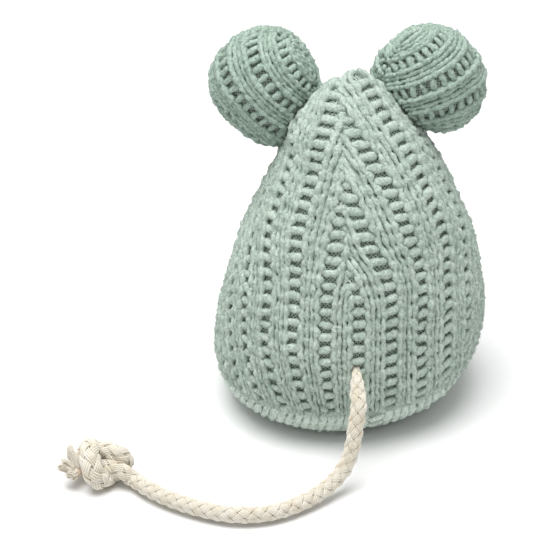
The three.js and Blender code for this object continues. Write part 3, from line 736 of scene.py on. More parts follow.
def ear_frame(side, drop, standoff, nudge, **knit):
    """An ear that lies a drop below the top: its pivot, its own three directions and its knit."""
    z, phi = BODY_TOP - drop, side * EAR_ANGLE
    up = unit(skin(z + 0.1, phi, 0) - skin(z - 0.1, phi, 0))
    out = skin_normal(z, phi, 0)
    pivot = skin(z, phi, 0) + PIVOT_OUT * out
    centre = pivot + (standoff - PIVOT_OUT) * out + nudge
    return dict(pivot=pivot, x=np.cross(up, out), y=up, z=out, centre=centre, back=-side, **knit)


# Each swell or dip of an ear: which way it faces, its share of the ear's reach and how tight it is.
LEFT_SHAPE = (((-0.75, -0.31, -0.58), -0.1, 6), ((0.2, -0.46, -0.86), 0.12, 8))
RIGHT_SHAPE = (((-0.95, 0.14, 0.26), 0.14, 8), ((-0.2, -0.46, -0.86), -0.14, 8),
               ((0.7, -0.33, -0.62), 0.02, 6))
EARS = {"left": ear_frame(-1, 15.7, 12.9, np.array([0.9, 0.0, -0.2]), size=1.03, ladder=-0.3,
                          repeat=9.2, turn=math.radians(12), fan=0.2, shape=LEFT_SHAPE),
        "right": ear_frame(1, 11.9, 9.0, np.array([0.4, 0.0, -1.3]), size=1.0, ladder=6.3,
                           repeat=10.15, turn=math.radians(-20), fan=0.3, shape=RIGHT_SHAPE)}
for name, ear in EARS.items():
    miss = np.linalg.norm(ear["pivot"] - PIVOTS[f"{name}_ear_flop"])
    print(name, "ear is", round(float(miss), 3), "mm from its joint")


# %% Ear surface
EAR_REACH = 14.0
EAR_FLAT = 25 / 28


def ear_ring(a):
    """Half the ear's width at an angle from its root to its far edge."""
    return EAR_REACH * np.sin(a) * (1 - 0.1 * np.cos(a))


def ear_skin(ear, a, b, half):
    """The ear's outside: a runs from root to far edge, b across the panel, half is its side."""
    a, b = np.broadcast_arrays(np.asarray(a, float), np.asarray(b, float))
    swell = 1 + 0.012 * np.sin(3 * a + 2 * b + ear["ladder"]) + 0.01 * np.sin(5 * b - 4 * a)
    ring = ear_ring(a) * swell
    parts = (half * EAR_FLAT * ring * np.cos(b), ring * np.sin(b), -EAR_REACH * np.cos(a))
    out = ear["size"] * sum(value[..., None] * ear[axis] for value, axis in zip(parts, "xyz"))
    fuller = sum(amount * np.clip(unit(out) @ np.array(way), 0, 1)**tight
                 for way, amount, tight in ear["shape"])
    return ear["centre"] + out * (1 + fuller)[..., None]


def ear_normal(ear, a, b, half):
    """The way out of the ear at that place."""
    a = np.clip(a, 0.03, np.pi - 0.03)
    b = np.clip(b, -np.pi / 2 + 0.011, np.pi / 2 - 0.011)
    return way_out(lambda far, aside: ear_skin(ear, far, aside, half), a, b, 0.01, 0.01) * half


def clear_head(points, gap):
    """Push points that lie inside the head, or nearer to it than a gap, straight out of it."""
    z = np.clip(points[:, 2], 0, BODY_TOP - 0.1)
    x, y = middle_at(z)
    aside, ahead = points[:, 0] - x, (points[:, 1] - y) / SHALLOW
    out = np.maximum(np.hypot(aside, ahead), 0.5)
    low = np.clip((BODY_TOP + gap - points[:, 2]) / 2, 0, 1)
    reach = girth_at(z) + crown(z, np.arctan2(aside, -ahead)) + 1.2 * gap
    grow = 1 + low * (np.maximum(1, reach / out) - 1)
    return np.stack([x + aside * grow, y + ahead * grow * SHALLOW, points[:, 2]], axis=1)


# %% [markdown]
# ## Ear knit
# Each panel is cut as a flat round of knit and gathered over the stuffing, so a place on the ear is
# found from its place on the flat round: its distance from the middle becomes an arc. The ribs run
# from rim to rim side by side, a little closer at the root, and each ear has its own slant. A rung
# that meets the rim is cut short there.

# %% Flat round
ROUND = EAR_REACH * np.pi / 2
RIB_SPREAD = 0.45


def ear_spot(ear, along, arc):
    """Root angle, panel angle and distance from the middle of a place on a flat round."""
    share = along / ROUND
    arc = arc * (1 + RIB_SPREAD * share**2) * (1 - ear["fan"] * (1 - share) / 2)
    far = np.maximum(np.hypot(along, arc), 1e-6)
    u, v = np.sin(far / EAR_REACH) * along / far, np.sin(far / EAR_REACH) * arc / far
    rise = v * math.cos(ear["turn"]) + u * math.sin(ear["turn"])
    out = u * math.cos(ear["turn"]) - v * math.sin(ear["turn"])
    return np.arccos(np.clip(-out, -1, 1)), np.arctan2(rise, np.cos(far / EAR_REACH)), far


print("a flat round of ear knit is", round(2 * ROUND, 1), "mm across")

# %% Ear legs and rungs
EAR_ROW = 2.77
EAR_RUNGS = 16
EAR_RUNG_SINK = 0.9
EAR_GAP = 0.5


def ear_legs(ear, half, ladder, shift):
    """The legs that follow one ladder of an ear panel."""
    yarns = []
    scale = ear["repeat"] / RIB_REPEAT
    along = np.linspace(-ROUND, ROUND, 100)
    for offset, inset, wide, high in LEGS:
        arc = ladder + offset * scale
        a, b, far = ear_spot(ear, along, arc)
        place, normal = ear_skin(ear, a, b, half), ear_normal(ear, a, b, half)
        beside = [ear_skin(ear, *ear_spot(ear, along, arc + step)[:2], half)
                  for step in (-0.5, 0.5)]
        spread = np.clip(np.linalg.norm(beside[1] - beside[0], axis=1), 0.5, 1.2) * scale
        beat = np.cos(2 * np.pi * (along - shift + rng.uniform(-0.2, 0.2)) / EAR_ROW)
        sink = inset + 0.14 * wobble(along, 2.3) + 0.3 * np.exp(-((ROUND - far) / 0.9)**2)
        line = clear_head(place - normal * sink[:, None], EAR_GAP)
        wide = wide * spread * (1 + 0.12 * beat + 0.14 * wobble(along, 1.3))
        high = high * (1 + 0.14 * beat)
        for i, j in runs_of(far < ROUND - 0.25, 4):
            yarns.append((line[i:j], normal[i:j], wide[i:j], high[i:j]))
    return yarns


def ear_rungs(ear, half, ladder, shift):
    """The bars across one ladder of an ear panel."""
    yarns = []
    across = np.linspace(-RUNG_REACH, RUNG_REACH, len(RUNG_TALL))
    across = across * ear["repeat"] / RIB_REPEAT
    for step in np.linspace(1 - ROUND, ROUND - 1, EAR_RUNGS):
        along = step + shift + rng.normal(0, 0.06) * across
        a, b, far = ear_spot(ear, along, ladder + across)
        normal = ear_normal(ear, a, b, half)
        line = ear_skin(ear, a, b, half) - normal * (EAR_RUNG_SINK + RUNG_DIP)[:, None]
        full = rng.uniform(0.74, 0.88)
        line = clear_head(line, EAR_GAP)
        for i, j in runs_of(far < ROUND - 0.3, 3):
            yarns.append((line[i:j], normal[i:j], full * RUNG_TALL[i:j], full * RUNG_DEEP[i:j]))
    return yarns


# %% Ear panels


def ear_yarns(ear, half):
    """All the yarns of one ear panel."""
    yarns = []
    for column in range(-4, 5):
        ladder = ear["ladder"] + ear["repeat"] * column
        shift = rng.uniform(-0.35, 0.35)
        yarns += ear_legs(ear, half, ladder, shift) + ear_rungs(ear, half, ladder, shift)
    return yarns


ear_knits, ear_nets = {}, {}
for name, ear in EARS.items():
    for panel, half in (("back", ear["back"]), ("front", -ear["back"])):
        ear_knits[name, panel] = sweep(f"{name}_ear_{panel}_knit", ear_yarns(ear, half))


# %% [markdown]
# ## Ear lining
# The same net, its dark ground painted shade, lines each ear, as a closed bag under the yarns of both
# panels.

# %% Ear lining
EAR_BAG_SIDES = 58
EAR_BAG_ROUND = 86
EAR_BAG_RISE = 1.1


def ear_bag_rings(ear, depth, gap, steps):
    """Rings round an ear at a depth under its surface and a gap from the head."""
    rings = []
    b = np.linspace(-np.pi / 2, np.pi / 2, EAR_BAG_SIDES // 2 + 1)
    for a in np.linspace(0.12, np.pi - 0.08, steps):
        near, far = (ear_skin(ear, a, b, half) - depth * ear_normal(ear, np.full(len(b), a), b, half)
                     for half in (1, -1))
        rings.append(clear_head(np.concatenate([near, far[::-1][1:-1]]), gap))
    return rings


for name, ear in EARS.items():
    rings = ear_bag_rings(ear, depth=1.6, gap=1.2, steps=40)
    ear_nets[name] = closed_bag(f"{name}_ear_net_bag", rings, lambda i, k: (
        EAR_BAG_ROUND * k / EAR_BAG_SIDES, EAR_BAG_RISE * i))


# %% [markdown]
# ## Sewing
# The seams are closed by hand with a pale thread that crosses from one panel to the other. It pulls
# itself down between the yarns, so only a stitch here and there comes up into sight.

# %% Seam threads
THREAD = 0.2


def stitched(line, normal, pitch, swing, depth):
    """A thread that zigzags over a line at a depth under the surface."""
    run = lengths(line)
    even = np.arange(0, run[-1], pitch / 8)
    place, out = resample(line, run, even), unit(resample(normal, run, even))
    aside = np.cross(unit(np.gradient(place, axis=0)), out)
    phase = 2 * np.pi * even / pitch
    slow = 0.3 * np.sin(even * 0.23 + rng.uniform(0, 6))
    path = place + aside * (swing * np.sin(phase))[:, None]
    path = path - out * (depth + slow + 0.35 * np.cos(2 * phase))[:, None]
    return (path, out, THREAD, THREAD)


def seam_line(low, high, front):
    """The line where the two side panels meet, on the back or the front, and its normals."""
    z = np.linspace(low, high, 160)
    lean = np.arcsin(np.clip(middle_at(z)[0] / girth_at(z), -1, 1))
    phi = np.pi + lean if front else -lean
    return skin(z, phi), skin_normal(z, phi)


ring_phi = np.linspace(-np.pi, np.pi, 240)
ring_z = np.full(240, BASE_SEAM)
seams = {"back_seam_thread": seam_line(32, 83, front=False),
         "front_seam_thread": seam_line(10.5, 83, front=True),
         "base_seam_thread": (skin(ring_z, ring_phi), skin_normal(ring_z, ring_phi))}
sewing = {}
for node, seam in seams.items():
    zigzag = stitched(*seam, pitch=4.2, swing=1.0, depth=1.45)
    sewing[node] = sweep(f"{node}_stitches", [zigzag], sides=6)


# %% [markdown]
# ## Ear stitches
# Each ear's rim is sewn the same way. At its root a thread winds through head and ear a few times,
# and that tack stitch is the hinge on which the ear flops.

# %% Ear threads
RIM_START = math.radians(72)
TACK_TURNS, TACK_LONG, TACK_ROUND = 6, 9, 0.55
ear_rims, ear_tacks = {}, {}
for name, ear in EARS.items():
    half_rim = np.linspace(RIM_START, np.pi - 0.02, 70)
    a = np.concatenate([half_rim, half_rim[::-1]])
    b = np.where(np.arange(140) < 70, 1, -1) * (np.pi / 2 - 0.02)
    rim = (clear_head(ear_skin(ear, a, b, 1), 0.8), ear_normal(ear, a, b, 1))
    zigzag = stitched(*rim, pitch=3.4, swing=0.7, depth=1.75)
    ear_rims[name] = sweep(f"{name}_ear_rim_stitches", [zigzag], sides=6)
    t = np.linspace(0, 1, 120)
    wind = 2 * np.pi * TACK_TURNS * t
    outward = np.cos(wind)[:, None] * ear["x"] + np.sin(wind)[:, None] * ear["z"]
    coil = ear["pivot"] + (TACK_LONG * (t - 0.5))[:, None] * ear["y"] + TACK_ROUND * outward
    ear_tacks[name] = sweep(f"{name}_ear_tack", [(coil, outward, THREAD, THREAD)], sides=6)


# %% [markdown]
# ## Face
# Eyes and nose are satin stitch: threads laid side by side over a small oval, a little proud of the
# knit. The middle threads are the longest and stand highest.

# %% Embroidered eyes and nose
FACE_RELIEF = 1.6
SATIN = 0.24
SATIN_SPACING = 0.42
EYE_AT, NOSE_AT = 62.0, 54.0
EYE_ANGLE = math.radians(153)


def satin(name, z, phi, width, upright):
    """Threads laid over an oval dome on the head."""
    here, out = skin(z, phi), skin_normal(z, phi)
    up = unit(skin(z + 0.1, phi) - skin(z - 0.1, phi))
    across = np.cross(up, out)
    wide, tall = width / 2, 0.4 * width
    along, aside, long, short = (up, across, tall, wide) if upright else (across, up, wide, tall)
    yarns = []
    for row in np.arange(-short + 0.2, short - 0.1, SATIN_SPACING):
        reach = long * math.sqrt(1 - (row / short)**2)
        u = np.linspace(-reach, reach, 13)
        arch = np.sqrt(np.clip(1 - (u / long)**2 - (row / short)**2, 0, 1))
        line = here + aside * row + along * u[:, None] + out * (FACE_RELIEF * arch - 0.75)[:, None]
        yarns.append((line, np.broadcast_to(out, line.shape), SATIN, SATIN * 0.8))
    return sweep(name, yarns, sides=6)


face_front = np.pi + float(np.arcsin(middle_at(NOSE_AT)[0] / girth_at(NOSE_AT)))
face = {"left_eye": satin("left_eye_stitches", EYE_AT, -EYE_ANGLE, 4.4, upright=True),
        "right_eye": satin("right_eye_stitches", EYE_AT, EYE_ANGLE, 4.4, upright=True),
        "nose": satin("nose_stitches", NOSE_AT, face_front, 8.0, upright=False)}


# %% [markdown]
# ## Stuffing
# Loose polyester fibre fills the body round a pocket for the catnip, and fills the ears. Each mass
# starts as a sphere whose rings are drawn along an outline, outside first and then back up inside
# the pocket, and noise then makes it lumpy.

# %% Soft masses


def drawn_ball(name, outline, segments=72, rings=64):
    """A sphere drawn along an outline of (radius, height) from its top pole to its bottom one."""
    bpy.ops.object.select_all(action="DESELECT")
    bpy.ops.mesh.primitive_uv_sphere_add(segments=segments, ring_count=rings, radius=1,
                                         location=(0, 0, 0))
    piece = bpy.context.active_object
    piece.name = name
    piece.data.name = name
    start = np.empty(len(piece.data.vertices) * 3)
    piece.data.vertices.foreach_get("co", start)
    start = start.reshape(-1, 3)
    outline = np.array(outline, float)
    share = np.arccos(np.clip(start[:, 2], -1, 1)) / np.pi
    run = lengths(outline)
    radius = np.interp(share * run[-1], run, outline[:, 0])
    height = np.interp(share * run[-1], run, outline[:, 1])
    angle = np.arctan2(start[:, 1], start[:, 0])
    bpy.ops.object.shade_smooth()
    return piece, np.stack([radius * np.cos(angle), radius * np.sin(angle), height], axis=1)


def settle_points(piece, points):
    """Write points in millimetres back to a piece."""
    piece.data.vertices.foreach_set("co", (points * MM).ravel())
    piece.data.update()
    print(f"{piece.name}: {len(piece.data.vertices)} points")


def roughen(piece, grain, depth):
    """Push the surface in and out by a cloud of noise, for the unevenness of a soft thing."""
    bpy.ops.object.select_all(action="DESELECT")
    piece.select_set(True)
    bpy.context.view_layer.objects.active = piece
    cloud = bpy.data.textures.new(f"{piece.name}_cloud_{grain}", "CLOUDS")
    cloud.noise_scale = grain * MM
    cloud.noise_depth = 1
    bpy.ops.object.modifier_add(type="DISPLACE")
    uneven = piece.modifiers[-1]
    uneven.texture = cloud
    uneven.texture_coords = "LOCAL"
    uneven.strength = depth * MM
    uneven.mid_level = 0.5
    bpy.ops.object.modifier_apply(modifier=uneven.name)


# %% Body stuffing
STUFFING_INSET = 3.4
POCKET = 13.6
POCKET_TOP = 50.0
outside_z = np.linspace(BODY_TOP - 1.7 * STUFFING_INSET - 0.05, STUFFING_INSET, 40)
outside = [(float(girth_at(z, STUFFING_INSET)), z) for z in outside_z]
pocket = [(POCKET, STUFFING_INSET), (POCKET, 43.2), (POCKET * 0.8, 47.0), (POCKET / 2, 49.4),
          (0.01, POCKET_TOP)]
body_stuffing, points = drawn_ball("body_fibre_fill", [(0.01, outside_z[0])] + outside + pocket,
                                   rings=96)
leaning = np.hypot(points[:, 0], points[:, 1]) > POCKET + 0.05
leaning = leaning | (points[:, 2] > POCKET_TOP + 0.05)
shift_x, shift_y = middle_at(points[:, 2])
points[:, 0] += np.where(leaning, shift_x, 0)
points[:, 1] = np.where(leaning, points[:, 1] * SHALLOW + shift_y, points[:, 1])
settle_points(body_stuffing, points)
roughen(body_stuffing, 7.0, 0.7)

# %% Ear stuffing
ear_fills = {}
fill_reach = EAR_REACH - STUFFING_INSET
half_round = [(fill_reach * math.sin(a) + 0.01, fill_reach * math.cos(a))
              for a in np.linspace(0, np.pi, 24)]
for name, ear in EARS.items():
    ear_fills[name], points = drawn_ball(f"{name}_ear_fibre_fill", half_round, segments=48, rings=32)
    placed = ear["centre"] + points[:, :1] * EAR_FLAT * ear["x"] + points[:, 1:2] * ear["y"]
    placed = placed + points[:, 2:] * ear["z"]
    settle_points(ear_fills[name], clear_head(placed, 2.6))
    roughen(ear_fills[name], 5.0, 0.6)


# %% [markdown]
# ## Catnip sachet
# The dried leaf sits in a small muslin bag whose neck is gathered and tied, with a ruffle of cloth
# above the tie. The bag is drawn as one thin wall, up the inside and down the outside, and folds
# deepen towards the neck.

# %% Sachet bag
SACHET_FLOOR = 2.7
SACHET_TALL = 35.8
SACHET_TOP = SACHET_FLOOR + SACHET_TALL
NECK = 4.0
MUSLIN = 0.6
GATHERS = 14


def sachet_outline(inset):
    """Radius and height of the bag from its floor to its neck."""
    share = np.linspace(0, 1, 30)
    swell = np.sin(np.pi * (0.25 + 0.75 * share))**0.6
    swell = swell * np.sqrt(np.clip(share / 0.06, 0, 1))
    radius = NECK * np.clip(share / 0.06, 0, 1) + 8.9 * swell - inset
    height = SACHET_FLOOR + inset + (SACHET_TALL - inset) * share
    return np.stack([np.maximum(radius, 0.01), height], axis=1)


ruffle_in = [(NECK + 0.2, SACHET_TOP + 2.5), (NECK + 1.0, SACHET_TOP + 4.8)]
ruffle_out = [(NECK + 1.5, SACHET_TOP + 4.8), (NECK + 0.8, SACHET_TOP + 2.5)]
bag_outline = np.vstack([sachet_outline(MUSLIN), ruffle_in, ruffle_out, sachet_outline(0)[::-1]])
sachet, points = drawn_ball("catnip_sachet_bag", bag_outline, segments=112, rings=110)
fold = np.exp(-((points[:, 2] - SACHET_TOP) / 6)**2) * 0.09
turn = np.arctan2(points[:, 1], points[:, 0])
points[:, :2] *= (1 + fold * np.cos(GATHERS * turn))[:, None]
settle_points(sachet, points)

# %% Catnip
leaf_outline = sachet_outline(MUSLIN + 0.5)[::-1][3:]
leaf_outline = np.vstack([[0.01, leaf_outline[0, 1]], leaf_outline])
catnip, points = drawn_ball("dried_catnip_leaf", leaf_outline)
settle_points(catnip, points)
roughen(catnip, 2.4, 0.7)

# %% Sachet tie
TIE_TURNS, TIE_ROUND = 2.6, 5.0
TIE_PLY = 0.24
t = np.linspace(0, 1, 150)
wind = 2 * np.pi * TIE_TURNS * t
tie_line = np.stack([TIE_ROUND * np.cos(wind), TIE_ROUND * np.sin(wind),
                     SACHET_TOP - 0.9 + 1.8 * t], axis=1)
tie_out = np.stack([np.cos(wind), np.sin(wind), 0 * wind], axis=1)
tie_up = np.array([0, 0, 1.0])
tie_plies = []
for ply in (0, np.pi):
    twist = 40 * t + ply
    path = tie_line + 0.22 * (np.cos(twist)[:, None] * tie_out + np.sin(twist)[:, None] * tie_up)
    tie_plies.append((path, tie_out, TIE_PLY, TIE_PLY))
sachet_tie = sweep("sachet_tie_thread", tie_plies, sides=6)

# %% [markdown]
# ## Tail anchor
# Inside the back the tail ends in a stopper knot that keeps it from being pulled out. It is braided
# like the rest and follows the same knotted line, drawn smaller.

# %% Tail anchor
ANCHOR_PITCH, ANCHOR_GIRTH, ANCHOR_SCALE = 20, 0.62, 0.72
anchor_in = -EXIT_OUT
anchor_side = unit(np.cross(anchor_in, [0, 0, 1.0]))
anchor_up = np.cross(anchor_side, anchor_in)
curl = KNOT_WAY[:18] * ANCHOR_SCALE
stopper = EXIT + 9.6 * anchor_in + curl[:, :1] * anchor_in * -1 + curl[:, 1:2] * anchor_up
stopper = stopper + curl[:, 2:] * anchor_side
anchor_way = np.vstack([EXIT + (ROOT_TUCK - 0.2) * anchor_in, EXIT + 4.5 * anchor_in, stopper])
anchor_path, anchor_run = smooth_line(anchor_way, CORD_STEP)
anchor_plies = braid(anchor_path, anchor_run, 0, anchor_run[-1], pitch=ANCHOR_PITCH,
                     girth=ANCHOR_GIRTH)
tail_anchor = sweep("tail_anchor_braid", anchor_plies, sides=6)

# %% [markdown]
# ## Unevenness and pile
# Chenille is never quite even, and a short cut pile stands off it, so its outline is fuzzy. Noise
# moves the yarns in and out, and then thousands of tiny tapered fibres are scattered over the knit.
# A fibre is only four triangles. Real pile is finer: these are drawn about three times too thick,
# which keeps their number within reason.

# %% Fuzz
CHENILLE_PILE = (0.065, 0.3, 0.65)
COTTON_LINT = (0.03, 0.15, 0.5)
HEART = np.array([2.0, 1.0, 32.0])
PILE_CLEAR = 0.05


def fuzz(name, source, heart, count, fibre=CHENILLE_PILE):
    """Scatter fibres (foot, least and most length) over the side that faces away from a heart."""
    thick, least, most = fibre
    mesh = source.data
    mesh.calc_loop_triangles()
    corner = np.empty(len(mesh.loop_triangles) * 3, dtype=int)
    mesh.loop_triangles.foreach_get("vertices", corner)
    place = np.empty(len(mesh.vertices) * 3)
    mesh.vertices.foreach_get("co", place)
    a, b, c = np.moveaxis(place.reshape(-1, 3)[corner.reshape(-1, 3)] / MM, 1, 0)
    flat = np.cross(b - a, c - a)
    facing = np.sum(unit(flat) * unit(a - heart), axis=1)
    chance = np.linalg.norm(flat, axis=1) * np.clip(facing + 0.1, 0, 1)
    pick = rng.choice(len(a), count, p=chance / chance.sum())
    u, v = rng.random((2, count, 1))
    u, v = np.where(u + v > 1, 1 - u, u), np.where(u + v > 1, 1 - v, v)
    spot = a[pick] + u * (b - a)[pick] + v * (c - a)[pick]
    lie = unit(unit(flat[pick]) + rng.normal(0, 0.5, (count, 3)))
    aside = unit(np.cross(lie, rng.normal(0, 1, (count, 3))))
    other = np.cross(lie, aside)
    foot = [spot - 0.05 * lie + thick * (math.cos(t) * aside + math.sin(t) * other)
            for t in (0, 2 * math.pi / 3, 4 * math.pi / 3)]
    tip = spot + lie * rng.uniform(least, most, (count, 1))
    points = np.stack(foot + [tip], axis=1).reshape(-1, 3)
    points[:, 2] = np.maximum(points[:, 2], PILE_CLEAR)
    one = np.array([[0, 2, 1], [0, 1, 3], [1, 2, 3], [2, 0, 3]])
    faces = (one[None] + 4 * np.arange(count)[:, None, None]).reshape(-1, 3)
    return add_mesh(name, points, faces.tolist(), np.zeros((len(faces) * 3, 2)))


# %% Pile and lint
GRAINS = ((2.0, 0.55), (0.8, 0.85))
PILE_COUNTS = {"right_side": 42000, "left_side": 42000, "base": 9000}
EAR_PILE_COUNT = 9000
body_knits = {"right_side": right_knit, "left_side": left_knit, "base": base_knit}
for piece in [*body_knits.values(), *ear_knits.values()]:
    for grain, depth in GRAINS:
        roughen(piece, grain, depth)
body_piles = {name: fuzz(f"{name}_pile", piece, HEART, PILE_COUNTS[name])
              for name, piece in body_knits.items()}
ear_piles = {(name, panel): fuzz(f"{name}_ear_{panel}_pile", piece, EARS[name]["centre"],
                                 EAR_PILE_COUNT)
             for (name, panel), piece in ear_knits.items()}
# The lint's hearts lie under the floor, so that it stands on the upper side of the cord.
cord_lint = fuzz("tail_cord_lint", tail_cord, np.array([-20.0, -50.0, -40.0]), 7000, COTTON_LINT)
knot_lint = fuzz("tail_knot_lint", tail_knot, np.array([-60.0, -38.0, -20.0]), 4000, COTTON_LINT)

# %% [markdown]
# ## Finishes
# One small function adds a node with its settings and its links, and one turns the sRGB colours
# that a person would pick into the linear ones that the renderer wants. Patterns are sized in real
# millimetres. They are read from a piece's own coordinates, or from its UV map where they have to
# follow a thread.

# %% Colour and nodes
PER_MM = 1 / MM


def srgb(code):
    """Linear RGBA of a hex colour."""
    parts = [int(code[i:i + 2], 16) / 255 for i in (1, 3, 5)]
    return [p / 12.92 if p <= 0.04045 else ((p + 0.055) / 1.055)**2.4 for p in parts] + [1.0]


def new_material(name, **surface):
    """A node material whose shader has these settings."""
    material = bpy.data.materials.new(name)
    material.use_nodes = True
    shader = material.node_tree.nodes["Principled BSDF"]
    for key, value in surface.items():
        shader.inputs[key.replace("_", " ").title().replace("Ior", "IOR")].default_value = value
    return material


def add(material, kind, inputs=None, stops=(), feeds=None, **settings):
    """Add a node. Inputs are values or sockets to link from, stops are a ramp's places and colours,
    and feeds is one of its outputs with the input of the shader that it goes to."""
    nodes, links = material.node_tree.nodes, material.node_tree.links
    made = nodes.new(kind)
    for key, value in settings.items():
        setattr(made, key, value)
    for key, value in (inputs or {}).items():
        if isinstance(value, bpy.types.NodeSocket):
            links.new(value, made.inputs[key])
        else:
            made.inputs[key].default_value = value
    for i, (place, code) in enumerate(stops):
        stop = made.color_ramp.elements[i] if i < 2 else made.color_ramp.elements.new(place)
        stop.position = place
        stop.color = srgb(code)
    if feeds:
        links.new(made.outputs[feeds[0]], nodes["Principled BSDF"].inputs[feeds[1]])
    return made


TO_COLOUR = ("Color", "Base Color")
TO_NORMAL = ("Normal", "Normal")
print("a sage green in linear light:", np.round(srgb("#adbcb1")[:3], 3).tolist())

# %% [markdown]
# ### Chenille
# Chenille has no gloss. Its pile catches light at the edges, which shows as a pale sheen, and its
# colour shifts softly in patches of about 5 mm and from tuft to tuft. The ears are a shade darker
# than the body. The base is a shade lighter, which is painted light on its downward-facing rim.

# %% Chenille knit
DYES_AND_PAINTED_LIGHT = {
    "sage_chenille_body": (((0.3, "#9eafa3"), (0.5, "#adbcb1"), (0.7, "#bbc9be")),
                           ((0.34, "#87998e"), (0.5, "#b0bfb4"), (0.66, "#d3ddd6"))),
    "sage_chenille_ears": (((0.3, "#8fa397"), (0.5, "#9cb0a3"), (0.7, "#a9bbaf")),
                           ((0.34, "#778b80"), (0.5, "#a0b4a7"), (0.66, "#c3d1c8"))),
    # The base's colours are lighter than the body's: painted light on its downward-facing rim.
    "sage_chenille_base": (((0.3, "#b6c6bb"), (0.5, "#c5d3c9"), (0.7, "#d2ded5")),
                           ((0.34, "#a0b2a5"), (0.5, "#ccdad0"), (0.66, "#e9f0eb")))}
PATCH_MM = 5
TUFT_MM = 0.55
chenilles = []
for name, (patch_stops, tuft_stops) in DYES_AND_PAINTED_LIGHT.items():
    chenille = new_material(name, roughness=0.95, specular_ior_level=0.12, sheen_weight=0.25,
                            sheen_roughness=0.5, sheen_tint=srgb("#e4ebe5"))
    coords = add(chenille, "ShaderNodeTexCoord").outputs["Object"]
    patches = add(chenille, "ShaderNodeTexNoise",
                  {"Vector": coords, "Scale": PER_MM / PATCH_MM, "Detail": 2.0})
    tufts = add(chenille, "ShaderNodeTexNoise",
                {"Vector": coords, "Scale": PER_MM / TUFT_MM, "Detail": 3.0})
    soft = add(chenille, "ShaderNodeValToRGB", {"Fac": patches.outputs["Fac"]}, patch_stops)
    speck = add(chenille, "ShaderNodeValToRGB", {"Fac": tufts.outputs["Fac"]}, tuft_stops)
    add(chenille, "ShaderNodeMix",
        {"Factor": 0.5, "A": soft.outputs["Color"], "B": speck.outputs["Color"]},
        feeds=("Result", "Base Color"), data_type="RGBA")
    add(chenille, "ShaderNodeBump",
        {"Height": tufts.outputs["Fac"], "Strength": 0.8, "Distance": 0.3 * MM}, feeds=TO_NORMAL)
    chenilles.append(chenille)
body_chenille, ear_chenille, base_chenille_painted_light = chenilles
print("chenille:", [chenille.name for chenille in chenilles])

# %% [markdown]
# ### Net
# The lining is a coarse knitted net: pale diamond threads over a dark ground, which is painted shade
# of the stuffing behind. Two sets of waves cross at right angles, and the lighter of the two wins.

# %% Net
NET_WAVES = 0.42
net = new_material("mesh_net_painted_shade", roughness=0.9, specular_ior_level=0.1)
spot = add(net, "ShaderNodeTexCoord").outputs["UV"]
waves = []
for turn in (45, -45):
    slant = add(net, "ShaderNodeMapping", {"Vector": spot, "Rotation": (0, 0, math.radians(turn))})
    waves.append(add(net, "ShaderNodeTexWave",
                     {"Vector": slant.outputs["Vector"], "Scale": NET_WAVES}).outputs["Fac"])
crossed = add(net, "ShaderNodeMath", {0: waves[0], 1: waves[1]}, operation="MAXIMUM").outputs["Value"]
# The dark stop is painted shade in the net's openings; the pale stop is the threads.
add(net, "ShaderNodeValToRGB", {"Fac": crossed}, ((0.5, "#55625a"), (0.92, "#b4c1b7")), TO_COLOUR)
add(net, "ShaderNodeBump", {"Height": crossed, "Strength": 0.6, "Distance": 0.2 * MM}, feeds=TO_NORMAL)
print("net:", len(net.node_tree.nodes), "nodes")

# %% [markdown]
# ### Cotton
# The braid is bleached cotton: matte, a warm white, yellower in patches and with a little lint.
# Light soaks into it, which keeps the creases between its strands soft and pale.

# %% Cotton
cotton = new_material("bleached_cotton_braid", roughness=0.9, specular_ior_level=0.15, sheen_weight=0.15,
                      subsurface_weight=0.3, subsurface_radius=(1.0, 0.95, 0.88),
                      subsurface_scale=1.6 * MM)
coords = add(cotton, "ShaderNodeTexCoord").outputs["Object"]
patches = add(cotton, "ShaderNodeTexNoise", {"Vector": coords, "Scale": PER_MM / 3, "Detail": 2.0})
add(cotton, "ShaderNodeValToRGB", {"Fac": patches.outputs["Fac"]},
    ((0.3, "#d6ccb7"), (0.55, "#dfd8c9"), (0.75, "#e6e2d7")), TO_COLOUR)
lint = add(cotton, "ShaderNodeTexNoise", {"Vector": coords, "Scale": PER_MM / 0.3, "Detail": 2.0})
add(cotton, "ShaderNodeBump", {"Height": lint.outputs["Fac"], "Strength": 0.5, "Distance": 0.12 * MM},
    feeds=TO_NORMAL)
print("cotton:", len(cotton.node_tree.nodes), "nodes")

# %% [markdown]
# ### Muslin
# The sachet is a plain weave of soft unbleached thread, matte and a little open. Its weave is drawn at
# twice its real pitch, so that it shows at all.

# %% Muslin
WEAVE_WAVES = 0.35 * PER_MM
muslin = new_material("plain_muslin", roughness=0.9, specular_ior_level=0.15)
coords = add(muslin, "ShaderNodeTexCoord").outputs["Object"]
weft, warp = (add(muslin, "ShaderNodeTexWave", {"Vector": coords, "Scale": WEAVE_WAVES},
                  bands_direction=way).outputs["Fac"] for way in ("Z", "DIAGONAL"))
weave = add(muslin, "ShaderNodeMath", {0: weft, 1: warp}, operation="MAXIMUM").outputs["Value"]
add(muslin, "ShaderNodeValToRGB", {"Fac": weave}, ((0.2, "#cfc5ac"), (0.8, "#ebe3d0")), TO_COLOUR)
add(muslin, "ShaderNodeBump", {"Height": weave, "Strength": 0.5, "Distance": 0.1 * MM}, feeds=TO_NORMAL)
print("muslin:", len(muslin.node_tree.nodes), "nodes")

# %% [markdown]
# ### Thread, floss, fibre, leaf and scorched ends
# The sewing thread and the embroidery floss are smooth spun threads with a fine twist, so they have a
# little gloss. The stuffing is a white haze of fibre, the catnip a crumble of dry green and straw,
# and the heart of the frayed end is faintly browned. One pattern gives each its colour and its
# relief, so they are made in one loop.

# %% Finishes with one pattern
NOISE, WAVE, CELLS = "ShaderNodeTexNoise", "ShaderNodeTexWave", "ShaderNodeTexVoronoi"
